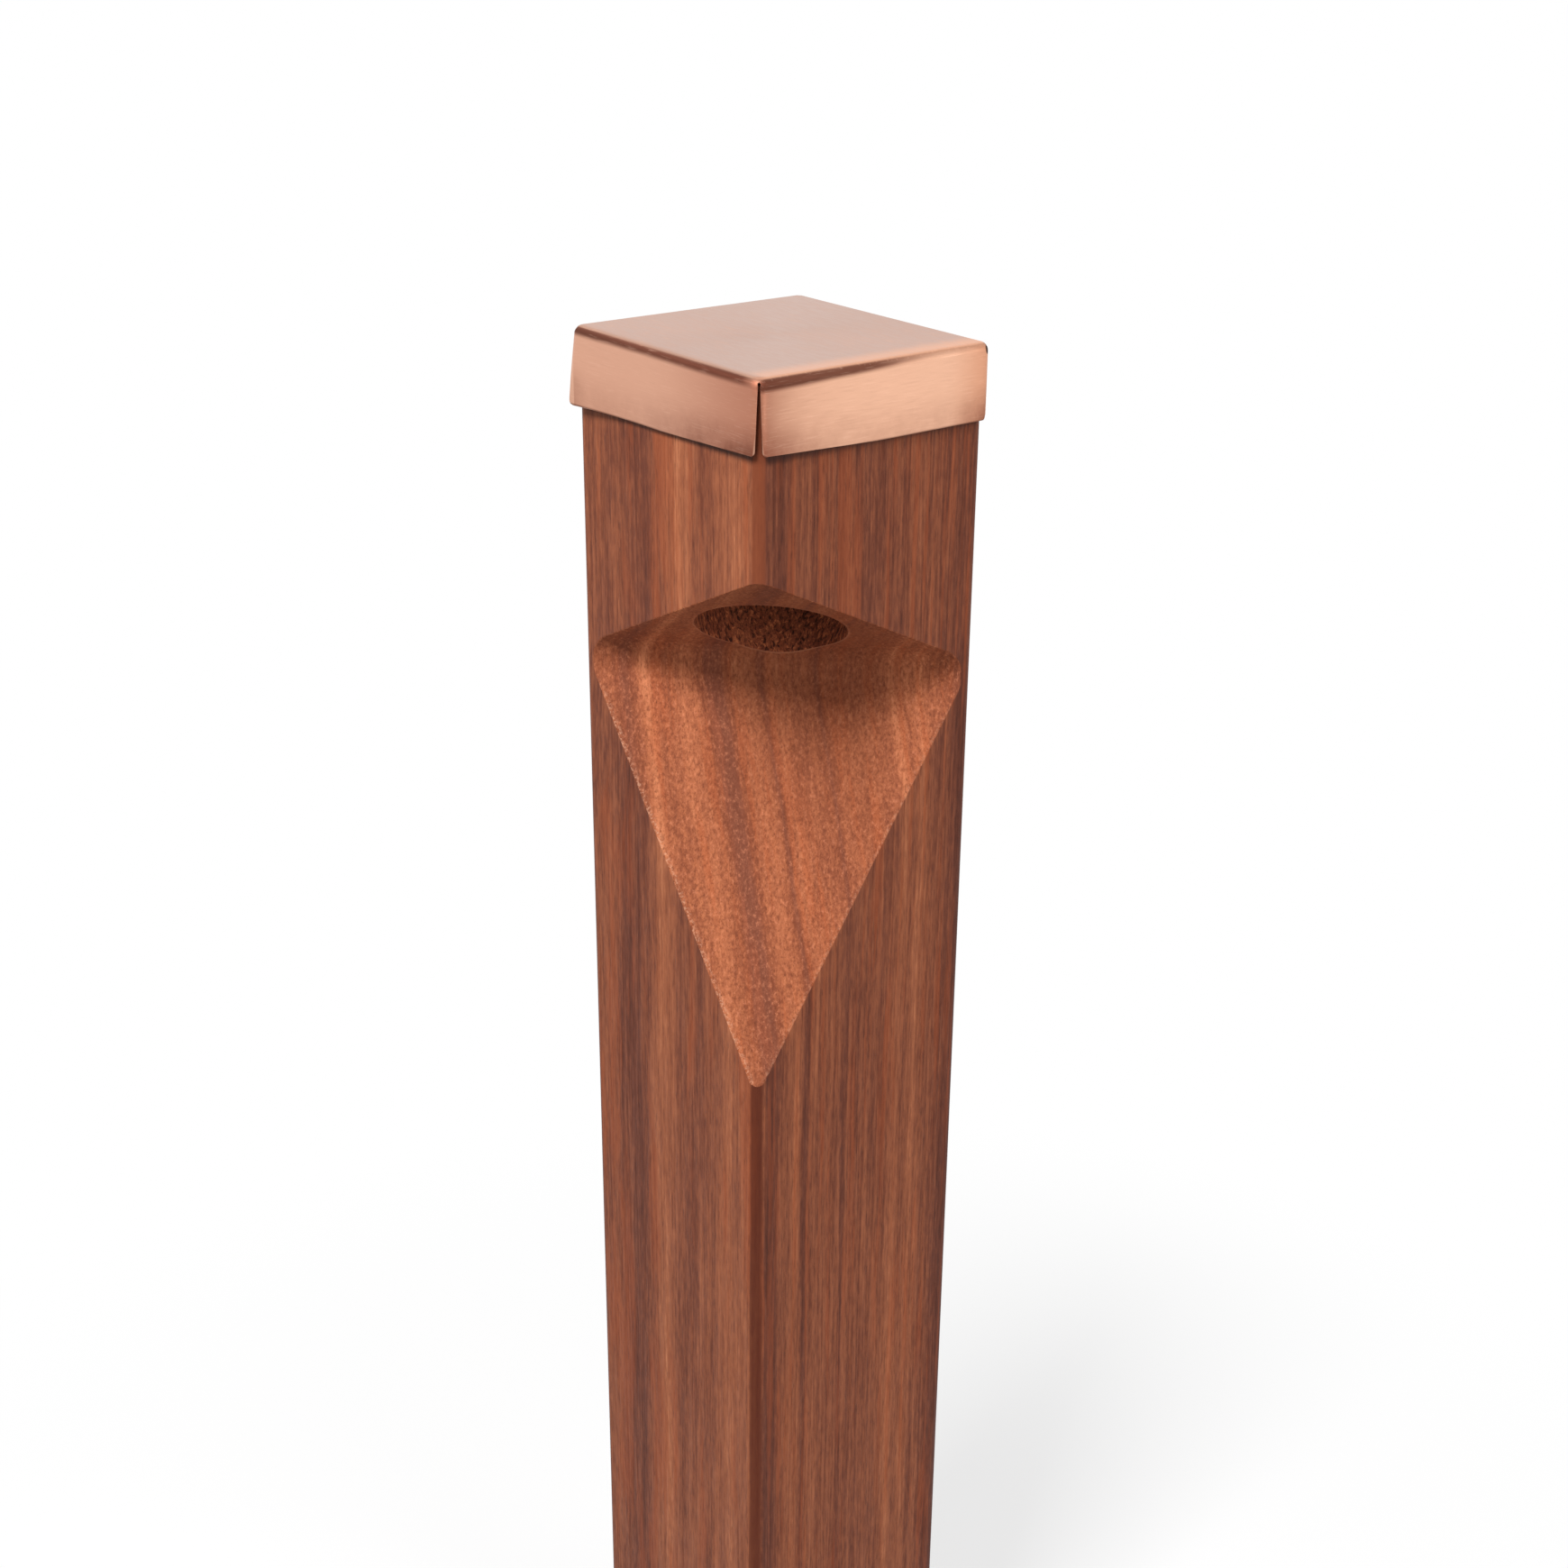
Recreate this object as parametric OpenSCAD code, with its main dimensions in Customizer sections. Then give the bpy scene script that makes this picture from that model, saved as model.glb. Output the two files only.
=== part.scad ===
// Pillar light: a square timber garden post with a folded copper cap. A V-shaped niche is cut
// into its front arris, and a small sealed lamp looks down out of the niche's sloping ceiling.
// The origin is on the ground under the middle of the base plate, +Z is up, and the niche is on
// the arris between the +X face and the -Y face.

/* [Overall] */
// Height from the underside of the base plate to the top of the cap
overall_h = 600; // [480:10:900]

/* [Post] */
// Width of the post across its faces
post_w = 90; // [89:0.5:96]
// Planed flat on each arris, measured along the face
arris = 2.5; // [2:0.5:7]

/* [Niche] */
// Drop from the cap's top to the niche's top corner, on the arris
niche_drop = 59.5; // [58:0.5:75]
// Height of the niche along the arris
niche_h = 174; // [160:1:176]
// Slope of the niche's ceiling from level, in degrees
ceiling_slope = 35; // [34:0.5:36]
// Slope of the niche's floor from level, in degrees
floor_slope = 64; // [63:0.5:65]
// Radius left in the niche's inner corner
niche_r = 10; // [4:0.5:12]

/* [Lamp bore] */
// Diameter of the bore in the ceiling
bore_d = 48; // [47.8:0.1:49]
// Distance from the arris to the bore's centre, down the slope
bore_along = 48; // [47:0.5:49]
// Depth of the bore, square to the ceiling
bore_depth = 76; // [75:0.5:77]

/* [Wiring spaces] */
// Diameter of the round pocket in the post's top
pocket_d = 33; // [32:0.5:34]
// Depth of the pocket
pocket_depth = 17.5; // [17:0.5:18]
// Distance of the pocket's centre from the post's centre, along X and along Y
pocket_back = 23.5; // [23:0.5:24]
// Diameter of the wiring bore that runs up the post
wire_bore_d = 13; // [12:0.5:13]
// Distance of the wiring bore from the post's centre, toward -X
wire_bore_x = 27; // [26.5:0.5:27.5]
// Distance of the wiring bore from the post's centre, toward +Y
wire_bore_y = 15; // [14.5:0.5:15.5]

/* [Cap] */
// Thickness of the copper sheet
sheet_t = 0.7; // [0.5:0.1:1.2]
// Drop of the skirts, from the cap's top to their lower edge
skirt_drop = 24; // [20:1:40]
// Outside radius of the folds
fold_r = 2; // [1.6:0.1:3]
// Gap between each skirt and the post's face
cap_gap = 0.25; // [0.2:0.05:1]
// Width of the open corner slits just under the folds
slit_top_w = 1.4; // [0.8:0.1:2]
// Width of the corner slits at the skirts' lower edge
slit_foot_w = 2.8; // [1.6:0.1:4]
// Diameter of the relief hole at the head of each slit
relief_d = 1.8; // [1.4:0.1:2.4]
// Radius of the skirts' lower corners
skirt_corner_r = 1.8; // [1:0.1:3]
// Thickness of the foam seal between the cap and the post
seal_t = 1.2; // [1:0.1:3]
// Width of the foam seal's strips
seal_w = 5; // [4:0.5:5]
// How far the foam seal stays inside the post's faces
seal_inset = 1.5; // [1:0.5:2]

/* [Lamp housing] */
// Outside diameter of the can
can_d = 44; // [43.6:0.1:44.2]
// Wall of the can's tube
can_wall = 1.8; // [1.6:0.1:2]
// Thickness of the can's rear wall
can_rear_t = 2.5; // [2:0.5:3]
// Length of the can
can_l = 43; // [42.8:0.1:43.4]
// Depth of the window ring's front face behind the ceiling
ring_recess = 17.8; // [17.4:0.1:18.2]
// Outside diameter of the window ring
ring_d = 47.2; // [46.8:0.1:47.2]
// Thickness of the window ring's front lip
ring_lip_t = 1.5; // [1.2:0.1:1.8]
// Length of the window ring
ring_l = 13.2; // [11:0.1:14]
// Clear aperture of the window ring
ring_aperture_d = 38; // [37:0.5:39]
// Diameter of the window
window_d = 43.4; // [42:0.1:43.6]
// Thickness of the window
window_t = 3; // [2.5:0.1:3.4]
// Thickness of the gasket behind the window
gasket_t = 1.2; // [0.8:0.1:1.6]
// Inside diameter of the gasket
gasket_id = 38.8; // [38:0.2:40]
// Cord diameter of the two O-rings
o_ring_d = 2.6; // [2.4:0.1:2.7]
// Place of the front O-ring behind the can's front
o_ring_front = 12; // [11:0.5:14]
// Place of the rear O-ring behind the can's front
o_ring_rear = 33; // [28:0.5:36]

/* [Reflector lamp] */
// Diameter of the lamp's rim
lamp_d = 35.3; // [34:0.1:37]
// Gap between the can's front and the lamp's rim
lamp_gap = 0.4; // [0.3:0.1:0.6]
// Wall of the reflector
reflector_wall = 1; // [0.8:0.1:1.3]
// Depth of the reflector's bowl, with its rim
reflector_l = 21.3; // [20:0.1:22]
// Inside radius of the reflector's neck
neck_r = 5; // [4.6:0.1:5.4]
// Length of the lamp's ceramic base behind the bowl
lamp_base_l = 10; // [9:0.1:11]
// Thickness of the lamp's own front glass
front_glass_t = 1.2; // [1:0.1:1.6]
// Diameter of the glowing capsule
capsule_d = 8; // [7:0.1:8.4]
// Distance between the two pins
pin_pitch = 4; // [4:0.1:4.4]
// Diameter of the pins
pin_d = 1; // [0.8:0.05:1.1]
// Free length of the pins
pin_l = 5; // [4:0.1:5.4]

/* [Lamp holder] */
// Length of the holder's ceramic body across the pins
holder_l = 22; // [21:0.5:24]
// Width of the holder's ceramic body
holder_w = 10; // [9:0.5:10.5]
// Distance of the holder's two screws from its middle
holder_screw_y = 7.2; // [7:0.1:7.4]
// Gap between the lamp's base and the holder
holder_gap = 0.3; // [0.3:0.1:0.8]

/* [Terminal block] */
// Length of the block along its tubes
block_l = 14; // [13:0.5:15]
// Width of the block across its two poles
block_w = 15.5; // [15:0.5:16]
// Height of the block
block_h = 11; // [10:0.5:12]
// Distance between the two poles
pole_pitch = 8; // [7.6:0.1:8.4]
// Place of the block's middle beside the pocket's middle
block_shift = 5; // [4.6:0.1:5.4]

/* [Leads] */
// Diameter of the lamp lead's sheath
lead_d = 4.6; // [4:0.1:4.8]
// Diameter of each insulated core
core_d = 1.6; // [1.2:0.1:1.7]
// Distance of the can's rear bush from the can's axis, toward the post's back
bush_in = 10; // [9.8:0.1:10.4]
// Distance of the can's rear bush from the can's axis, sideways
bush_side = 9; // [8.6:0.1:9.4]

/* [Base] */
// Width of the base plate
plate_w = 120; // [118:1:150]
// Thickness of the base plate
plate_t = 6; // [5:0.5:10]
// Radius of the base plate's corners
plate_r = 8; // [2:0.5:10]
// Distance of each anchor hole's centre from the plate's edges
anchor_in = 10; // [9.5:0.5:12]
// Diameter of the anchor holes
anchor_d = 9; // [8:0.5:10]
// Thickness of the damp-proof pad under the post
pad_t = 3; // [2.6:0.1:5]
// How far the pad stays inside the post's faces
pad_inset = 1; // [0.5:0.5:3]
// Distance of each base screw from the post's centre, along X
base_screw_x = 18; // [17:0.5:20]
// Distance of each base screw from the post's centre, along Y
base_screw_y = 33; // [32:0.5:34]
// Length of the base screws
base_screw_l = 70; // [50:1:100]
// Shank diameter of the base screws
base_screw_d = 6; // [5:0.1:6.5]
// Diameter of the plate's hole for the cable grommet
grommet_hole_d = 20; // [18:0.5:21]
// Diameter of the cable hole in the grommet
cable_hole_d = 8; // [6:0.5:9]

/* [Hidden] */
$fn = 64;

// Cuts run this far past the faces that they open
past = 1;
// Gap between a fixed piece and the hole that it sits in, on the radius
fit_gap = 0.1;
// Gap between curved faces that slide past each other, on the radius
run_gap = 0.3;

// Distance between anchor holes along X and along Y
anchor_pitch = plate_w - 2 * anchor_in;

// Levels up the post
post_foot_z = plate_t + pad_t;
post_top_z = overall_h - sheet_t - seal_t;
pocket_floor_z = post_top_z - pocket_depth;
half = post_w / 2;
diagonal = sqrt(2);
// The places of the pocket, the wiring bore and the base screws are given for a post of this
// width, and spread with the post
given_w = 90;
spread = post_w / given_w;
pocket_xy = spread * pocket_back;

// Niche section, measured inward from the arris and up from the niche's top corner
niche_top_z = overall_h - niche_drop;
niche_in = niche_h / (tan(ceiling_slope) + tan(floor_slope));
apex_z = -niche_in * tan(ceiling_slope);
// The inner corner's radius touches ceiling and floor, and its centre lies on their bisector
corner_half = (ceiling_slope + floor_slope) / 2;
corner_tilt = (ceiling_slope - floor_slope) / 2;
corner_reach = niche_r / sin(corner_half);
// The section runs this far out past the arris
niche_past = 20;

// Mouth of the lamp bore, where its axis meets the ceiling
mouth_in = bore_along * cos(ceiling_slope);
mouth_z = niche_top_z - bore_along * sin(ceiling_slope);
mouth_xy = half - mouth_in / diagonal;

// Cap
cap_half = half + cap_gap + sheet_t;
fold_inner_r = fold_r - sheet_t;

// Stations up the lamp bore's axis, from the ceiling
lip_back = ring_recess + ring_lip_t;
window_back = lip_back + window_t;
can_front = window_back + gasket_t;
can_back = can_front + can_l;
can_floor = can_back - can_rear_t;
can_r = can_d / 2;
can_inner_r = can_r - can_wall;
groove_r = bore_d / 2 - run_gap - o_ring_d;
groove_w = o_ring_d + 2 * run_gap;
lamp_front = can_front + lamp_gap;
bowl_back = lamp_front + reflector_l;
pin_root = bowl_back + 2;
lamp_back = bowl_back + lamp_base_l;
holder_front = lamp_back + holder_gap;
lead_level = can_floor - 4;

// Small parts of the lamp and its holder
glass_inset = 0.3;
glass_rim = 1.2;
capsule_l = 12;
lamp_base_w = 8.5;
lamp_base_span = 13;
contact_bore_r = pin_d / 2 + 0.35;
contact_r = contact_bore_r + 0.4;
contact_inset = 0.5;
spanner_d = 2.4;

// Bush in the can's rear wall: its barrel, collar and tapered tail
bush_r = lead_d / 2 + 1.7;
bush_step = 0.5;
bush_collar_r = bush_r + 0.8;
bush_collar_t = 1.2;
bush_tail_r = bush_r - 0.9;
bush_tail_l = 1.6;

// Small screws: the holder's two, the terminal block's one and the four in its tubes
holder_screw_d = 2.6;
holder_screw_head_d = 1.7 * holder_screw_d;
holder_screw_head_h = 1.4;
holder_screw_sink = holder_screw_head_h + run_gap;
holder_screw_past = 2;
block_screw_d = 2.8;
block_screw_l = 17;
terminal_screw_d = 2.4;
terminal_screw_l = 5;
terminal_screw_pitch = 7;
tube_d = 4;
tube_bore_d = 2.5;
tube_level = 5.2;
tube_inset = 1;
core_in_tube = 2;
screw_well_d = terminal_screw_d + 1.6;

// Grommet in the base plate, and how far the base screws' heads lie under its face
grommet_flange_d = grommet_hole_d + 5;
grommet_flange_t = 2;
base_screw_sink = 0.4;

// Route of the lamp lead past the can, as offsets from the pocket's centre and floor: sideways,
// toward the post's back, and up
lead_tail = [[-8.8, -5, -9], [-8.6, -4.5, -5], [-8.6, -4.5, -1]];
// Routes of its two cores, in the same way
core_tails = [
    [[-8.6, -5.5, -0.9], [-8.6, -5.5, -0.2], [-8.6, -5.5, 0.8], [-7.2, -4.8, 4], [-5, -4.2, 5.1]],
    [
        [-8.6, -3.5, -0.9], [-8.6, -3.5, -0.2], [-8.6, -3.5, 0.8], [-8.2, 0, 3.2], [-7, 2.8, 4.6],
        [-4.8, 4, 5.2]
    ]
];
// The lead's sheath ends this far inside the can, and goes straight this far past its bush
lead_in = 1.4;
lead_straight = 1.2;
// Routes of the two cores inside the can, from its axis: toward the back, sideways, and up
inner_tails = [
    [[9.3, 9.6, -1.5], [9.3, 9.6, -1.9], [9.3, 9.6, -2.4], [8.4, 7.6, -3.8], [7.4, 4.2, -4]],
    [
        [10.7, 8.4, -1.5], [10.7, 8.4, -1.9], [10.7, 8.4, -2.4], [10.2, 5.6, -3.8], [9.2, 1, -4],
        [8, -1.6, -4]
    ]
];

// Point given along the lamp bore: toward the back down the slope, sideways, and up the axis
function bore_point(back, side, up) = [
    mouth_xy + (-back * cos(ceiling_slope) - side - up * sin(ceiling_slope)) / diagonal,
    -mouth_xy + (back * cos(ceiling_slope) - side + up * sin(ceiling_slope)) / diagonal,
    mouth_z - back * sin(ceiling_slope) + up * cos(ceiling_slope)
];
// Point given in the pocket: sideways, toward the back, and up from its floor
function pocket_point(p) = [
    -pocket_xy + (p[0] - p[1]) / diagonal,
    pocket_xy + (p[0] + p[1]) / diagonal,
    pocket_floor_z + p[2]
];

// Smooth curve through a list of points, with a number of steps between each two
function spline_point(p, i, t) =
    let (n = len(p) - 1)
    let (a = p[max(i - 1, 0)])
    let (b = p[i])
    let (c = p[i + 1])
    let (d = p[min(i + 2, n)])
    0.5 * (2 * b + (c - a) * t + (2 * a - 5 * b + 4 * c - d) * t * t + (3 * b - a - 3 * c + d) * t * t * t);
function spline(p, steps) = concat(
    [for (i = [0 : len(p) - 2]) for (k = [0 : steps - 1]) spline_point(p, i, k / steps)],
    [p[len(p) - 1]]
);
function unit(v) = v / norm(v);
function tangent(p, i) = unit(p[min(i + 1, len(p) - 1)] - p[max(i - 1, 0)]);
// Directions square to a line of points, each carried on from the one before it
function carried(p, i, v) =
    i == len(p)
        ? []
        : let (t = tangent(p, i)) let (m = unit(v - (v * t) * t)) concat([m], carried(p, i + 1, m));
// Level direction across the post's diagonal, square to where every lead starts
side_dir = [1, 1, 0] / diagonal;

// Lays a round tube along a list of points
module tube_along(p, r, sides) {
    across = carried(p, 0, side_dir);
    rings = [
        for (i = [0 : len(p) - 1])
        let (beside = cross(tangent(p, i), across[i]))
        [
            for (k = [0 : sides - 1])
            let (turn = 360 * k / sides)
            p[i] + r * (across[i] * cos(turn) + beside * sin(turn))
        ]
    ];
    last = len(p) - 1;
    walls = [
        for (i = [0 : last - 1])
        for (k = [0 : sides - 1])
        for (half_face = [0, 1])
        let (a = i * sides + k)
        let (b = i * sides + (k + 1) % sides)
        half_face == 0 ? [a, b, b + sides] : [a, b + sides, a + sides]
    ];
    near_end = [for (k = [1 : sides - 2]) [0, k + 1, k]];
    far_end = [for (k = [1 : sides - 2]) [last * sides, last * sides + k, last * sides + k + 1]];
    polyhedron([for (ring = rings) each ring], concat(near_end, walls, far_end));
}

// Places its children on the lamp bore: local Z runs up the bore from the ceiling, local X down
// the slope toward the post's back
module on_bore() {
    translate([mouth_xy, -mouth_xy, mouth_z])
        rotate([0, ceiling_slope, 135])
            children();
}

// Places its children on the pocket's floor: local Y runs toward the post's back
module in_pocket() {
    translate([-pocket_xy, pocket_xy, pocket_floor_z])
        rotate(45)
            children();
}

module chamfered_square(w, flat) {
    s = w / 2;
    c = s - flat;
    polygon([[s, -c], [s, c], [c, s], [-c, s], [-s, c], [-s, -c], [-c, -s], [c, -s]]);
}

module rounded_square(w, r) {
    c = w / 2 - r;
    square([w, 2 * c], center = true);
    square([2 * c, w], center = true);
    for (x = [-c, c])
        for (y = [-c, c])
            translate([x, y])
                circle(r);
}

module ring(outer_r, inner_r, h) {
    difference() {
        cylinder(r = outer_r, h = h);
        translate([0, 0, -past])
            cylinder(r = inner_r, h = h + 2 * past);
    }
}

// Countersunk screw standing on its head, with a short tapered point
module countersunk_screw(d, head_d, l) {
    head_h = (head_d - d) / 2;
    point_l = d;
    cylinder(d1 = head_d, d2 = d, h = head_h);
    cylinder(d = d, h = l - point_l);
    translate([0, 0, l - point_l])
        cylinder(d1 = d, d2 = d / 3, h = point_l);
}

module pan_screw(d, head_d, head_h, l) {
    cylinder(d = d, h = l);
    translate([0, 0, -head_h])
        cylinder(d = head_d, h = head_h);
}

module base_screw_places() {
    for (x = [-base_screw_x, base_screw_x])
        for (y = [-base_screw_y, base_screw_y])
            translate([spread * x, spread * y, 0])
                children();
}

module cable_place() {
    translate([-spread * wire_bore_x, spread * wire_bore_y, 0])
        children();
}

module niche_cut() {
    apex = [niche_in, apex_z];
    center = apex + corner_reach * [-cos(corner_tilt), sin(corner_tilt)];
    steps = 12;
    corner = [
        for (k = [0 : steps])
        let (turn = (90 - ceiling_slope) * (steps - k) / steps - (90 - floor_slope) * k / steps)
        center + niche_r * [cos(turn), sin(turn)]
    ];
    translate([half, -half, niche_top_z])
        rotate([90, 0, 135])
            linear_extrude(2 * post_w, center = true)
                polygon(concat(
                    [[-niche_past, niche_past * tan(ceiling_slope)]],
                    corner,
                    [[-niche_past, -niche_h - niche_past * tan(floor_slope)]]
                ));
}

module timber_post() {
    color("sienna")
    difference() {
        translate([0, 0, post_foot_z])
            linear_extrude(post_top_z - post_foot_z)
                chamfered_square(post_w, arris);
        niche_cut();
        on_bore()
            translate([0, 0, -niche_r])
                cylinder(d = bore_d, h = niche_r + bore_depth, $fn = 96);
        translate([-pocket_xy, pocket_xy, pocket_floor_z])
            cylinder(d = pocket_d, h = pocket_depth + past);
        cable_place()
            translate([0, 0, post_foot_z - past])
                cylinder(d = wire_bore_d, h = pocket_floor_z - post_foot_z + 2 * past);
        base_screw_places()
            cylinder(d = base_screw_d + 2 * fit_gap, h = base_screw_l + past);
        in_pocket()
            translate([block_shift, 0, block_h - block_screw_l - past])
                cylinder(d = block_screw_d + 2 * fit_gap, h = block_screw_l);
    }
}

// Square block with rounded upper edges and sharp upright corners, its top at the cap's top
module folded_block(s, r, h) {
    intersection() {
        for_each_fold(s, r, h, 0);
        for_each_fold(s, r, h, 90);
    }
}

module for_each_fold(s, r, h, turn) {
    rotate([90, 0, turn])
        linear_extrude(2 * s + 2 * past, center = true) {
            translate([-s, -h])
                square([2 * s, h - r]);
            translate([-s + r, -h])
                square([2 * (s - r), h]);
            for (x = [-1, 1])
                translate([x * (s - r), -r])
                    circle(r);
        }
}

// Outline of one corner slit, seen along the diagonal, from its relief hole to the skirt's foot
module slit_outline() {
    head_z = -fold_r - relief_d / 2;
    foot_z = -skirt_drop - past;
    lean = (slit_foot_w - slit_top_w) / 2;
    corner_w = slit_foot_w + skirt_corner_r;
    corner_h = skirt_corner_r + past;
    translate([0, head_z])
        circle(d = relief_d, $fn = 24);
    polygon([
        [-slit_top_w / 2, head_z], [slit_top_w / 2, head_z],
        [slit_top_w / 2 + lean, foot_z], [-slit_top_w / 2 - lean, foot_z]
    ]);
    for (side = [-1, 1])
        difference() {
            translate([side * corner_w / 2, corner_h / 2 - skirt_drop - past])
                square([skirt_corner_r, corner_h], center = true);
            translate([side * (slit_foot_w / 2 + skirt_corner_r), -skirt_drop + skirt_corner_r])
                circle(skirt_corner_r, $fn = 32);
        }
}

module copper_cap() {
    color("peru")
    translate([0, 0, overall_h])
        difference() {
            folded_block(cap_half, fold_r, skirt_drop);
            translate([0, 0, -sheet_t])
                folded_block(cap_half - sheet_t, fold_inner_r, skirt_drop);
            for (turn = [45 : 90 : 315])
                rotate(turn)
                    translate([diagonal * cap_half, 0, 0])
                        rotate([90, 0, 90])
                            linear_extrude(8 * skirt_corner_r, center = true)
                                slit_outline();
        }
}

module cap_seal() {
    outer = post_w - 2 * seal_inset;
    color("dimgray")
    translate([0, 0, post_top_z])
        linear_extrude(seal_t)
            difference() {
                chamfered_square(outer, arris);
                chamfered_square(outer - 2 * seal_w, arris);
            }
}

module base_plate() {
    head_d = 2 * base_screw_d;
    color("silver")
    difference() {
        linear_extrude(plate_t)
            rounded_square(plate_w, plate_r);
        for (x = [-anchor_pitch / 2, anchor_pitch / 2])
            for (y = [-anchor_pitch / 2, anchor_pitch / 2])
                translate([x, y, -past])
                    cylinder(d = anchor_d, h = plate_t + 2 * past);
        base_screw_places() {
            translate([0, 0, -past])
                cylinder(d = base_screw_d + 2 * fit_gap, h = plate_t + 2 * past);
            cylinder(d1 = head_d + 1, d2 = base_screw_d, h = (head_d + 1 - base_screw_d) / 2);
        }
        cable_place()
            translate([0, 0, -past])
                cylinder(d = grommet_hole_d, h = plate_t + 2 * past);
    }
}

module foot_pad() {
    color("black")
    translate([0, 0, plate_t])
        difference() {
            linear_extrude(pad_t)
                chamfered_square(post_w - 2 * pad_inset, arris);
            base_screw_places()
                translate([0, 0, -past])
                    cylinder(d = base_screw_d + 2 * fit_gap, h = pad_t + 2 * past);
            cable_place()
                translate([0, 0, -past])
                    cylinder(d = grommet_flange_d + 2 * run_gap, h = pad_t + 2 * past);
        }
}

module base_screws() {
    color("gainsboro")
    base_screw_places()
        translate([0, 0, base_screw_sink])
            countersunk_screw(base_screw_d, 2 * base_screw_d, base_screw_l);
}

module cable_grommet() {
    color("darkslategray")
    cable_place()
        difference() {
            union() {
                translate([0, 0, fit_gap])
                    cylinder(r = grommet_hole_d / 2 - run_gap, h = plate_t);
                translate([0, 0, plate_t])
                    cylinder(d = grommet_flange_d, h = grommet_flange_t);
            }
            translate([0, 0, -past])
                cylinder(d = cable_hole_d, h = plate_t + grommet_flange_t + 2 * past);
        }
}

module holder_screw_places(z) {
    for (side = [-1, 1])
        translate([0, side * holder_screw_y, z])
            children();
}

module bush_place(z) {
    translate([bush_in, bush_side, z])
        children();
}

module lamp_can() {
    color("lightgray")
    on_bore()
        difference() {
            translate([0, 0, can_front])
                cylinder(r = can_r, h = can_l);
            translate([0, 0, can_front - past])
                cylinder(r = can_inner_r, h = can_floor - can_front + past);
            for (place = [o_ring_front, o_ring_rear])
                translate([0, 0, can_front + place - groove_w / 2])
                    ring(can_r + past, groove_r - fit_gap, groove_w);
            bush_place(can_floor - past)
                cylinder(r = bush_r + fit_gap, h = can_rear_t + 2 * past);
            holder_screw_places(can_floor - past)
                cylinder(d = holder_screw_d + 2 * fit_gap, h = can_rear_t + 2 * past);
        }
}

module can_o_rings() {
    color("black")
    on_bore()
        for (place = [o_ring_front, o_ring_rear])
            translate([0, 0, can_front + place])
                rotate_extrude()
                    translate([groove_r + o_ring_d / 2, 0])
                        circle(d = o_ring_d, $fn = 24);
}

module window_ring() {
    color("silver")
    on_bore()
        translate([0, 0, ring_recess])
            difference() {
                cylinder(d = ring_d, h = ring_l);
                translate([0, 0, -past])
                    cylinder(d = ring_aperture_d, h = ring_l);
                translate([0, 0, ring_lip_t])
                    cylinder(r = can_r + run_gap, h = ring_l);
                for (side = [-1, 1])
                    translate([0, side * (ring_aperture_d / 2 + spanner_d / 2 + 1), -past])
                        cylinder(d = spanner_d, h = ring_lip_t / 2 + past, $fn = 24);
            }
}

module window_glass() {
    color("lightcyan")
    on_bore()
        translate([0, 0, lip_back])
            cylinder(d = window_d, h = window_t);
}

module window_gasket() {
    color("white")
    on_bore()
        translate([0, 0, window_back])
            ring(can_r - fit_gap, gasket_id / 2, gasket_t);
}

// Radius of the bowl's inside at a share of the way from its neck to its rim
function bowl_r(share) = neck_r + (lamp_d / 2 - reflector_wall - neck_r) * sqrt(share);

module lamp_reflector() {
    rim_l = front_glass_t + glass_rim;
    steps = 8;
    inside = [for (i = [0 : steps]) [bowl_r(i / steps), bowl_back - (reflector_l - rim_l) * i / steps]];
    outside = [for (i = [steps : -1 : 0]) [inside[i][0] + reflector_wall, inside[i][1]]];
    color("whitesmoke")
    on_bore()
        rotate_extrude()
            polygon(concat(
                inside,
                [[lamp_d / 2 - reflector_wall, lamp_front], [lamp_d / 2, lamp_front]],
                outside
            ));
}

module lamp_front_glass() {
    color("azure")
    on_bore()
        translate([0, 0, lamp_front + glass_inset])
            cylinder(r = lamp_d / 2 - reflector_wall - fit_gap, h = front_glass_t);
}

module lamp_capsule() {
    color("lightyellow")
    on_bore()
        translate([0, 0, bowl_back - capsule_l]) {
            cylinder(d = capsule_d, h = capsule_l);
            sphere(d = capsule_d);
        }
}

module lamp_base() {
    color("linen")
    on_bore()
        difference() {
            translate([-lamp_base_w / 2, -lamp_base_span / 2, bowl_back])
                cube([lamp_base_w, lamp_base_span, lamp_base_l]);
            for (side = [-1, 1])
                translate([0, side * pin_pitch / 2, pin_root])
                    cylinder(d = pin_d + 2 * fit_gap, h = lamp_base_l, $fn = 24);
        }
}

module lamp_pins() {
    color("silver")
    on_bore()
        for (side = [-1, 1])
            translate([0, side * pin_pitch / 2, pin_root])
                cylinder(d = pin_d, h = lamp_back + pin_l - pin_root, $fn = 24);
}

module lamp_holder() {
    through = can_floor - holder_front + 2 * past;
    color("antiquewhite")
    on_bore()
        difference() {
            translate([-holder_w / 2, -holder_l / 2, holder_front])
                cube([holder_w, holder_l, can_floor - holder_front]);
            for (side = [-1, 1]) {
                translate([0, side * pin_pitch / 2, holder_front - past])
                    cylinder(r = contact_r + fit_gap, h = through, $fn = 24);
                translate([0, side * pin_pitch / 2, lead_level])
                    rotate([0, 90, 0])
                        cylinder(d = core_d + 2 * run_gap, h = holder_w, $fn = 24);
            }
            holder_screw_places(holder_front - past) {
                cylinder(d = holder_screw_d + 2 * fit_gap, h = through, $fn = 24);
                cylinder(d = holder_screw_head_d + 2 * run_gap, h = holder_screw_sink + past, $fn = 24);
            }
        }
}

module holder_contacts() {
    contact_l = can_floor - holder_front - 2 * contact_inset;
    color("goldenrod")
    on_bore()
        for (side = [-1, 1])
            translate([0, side * pin_pitch / 2, holder_front + contact_inset])
                ring(contact_r, contact_bore_r, contact_l, $fn = 24);
}

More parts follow.
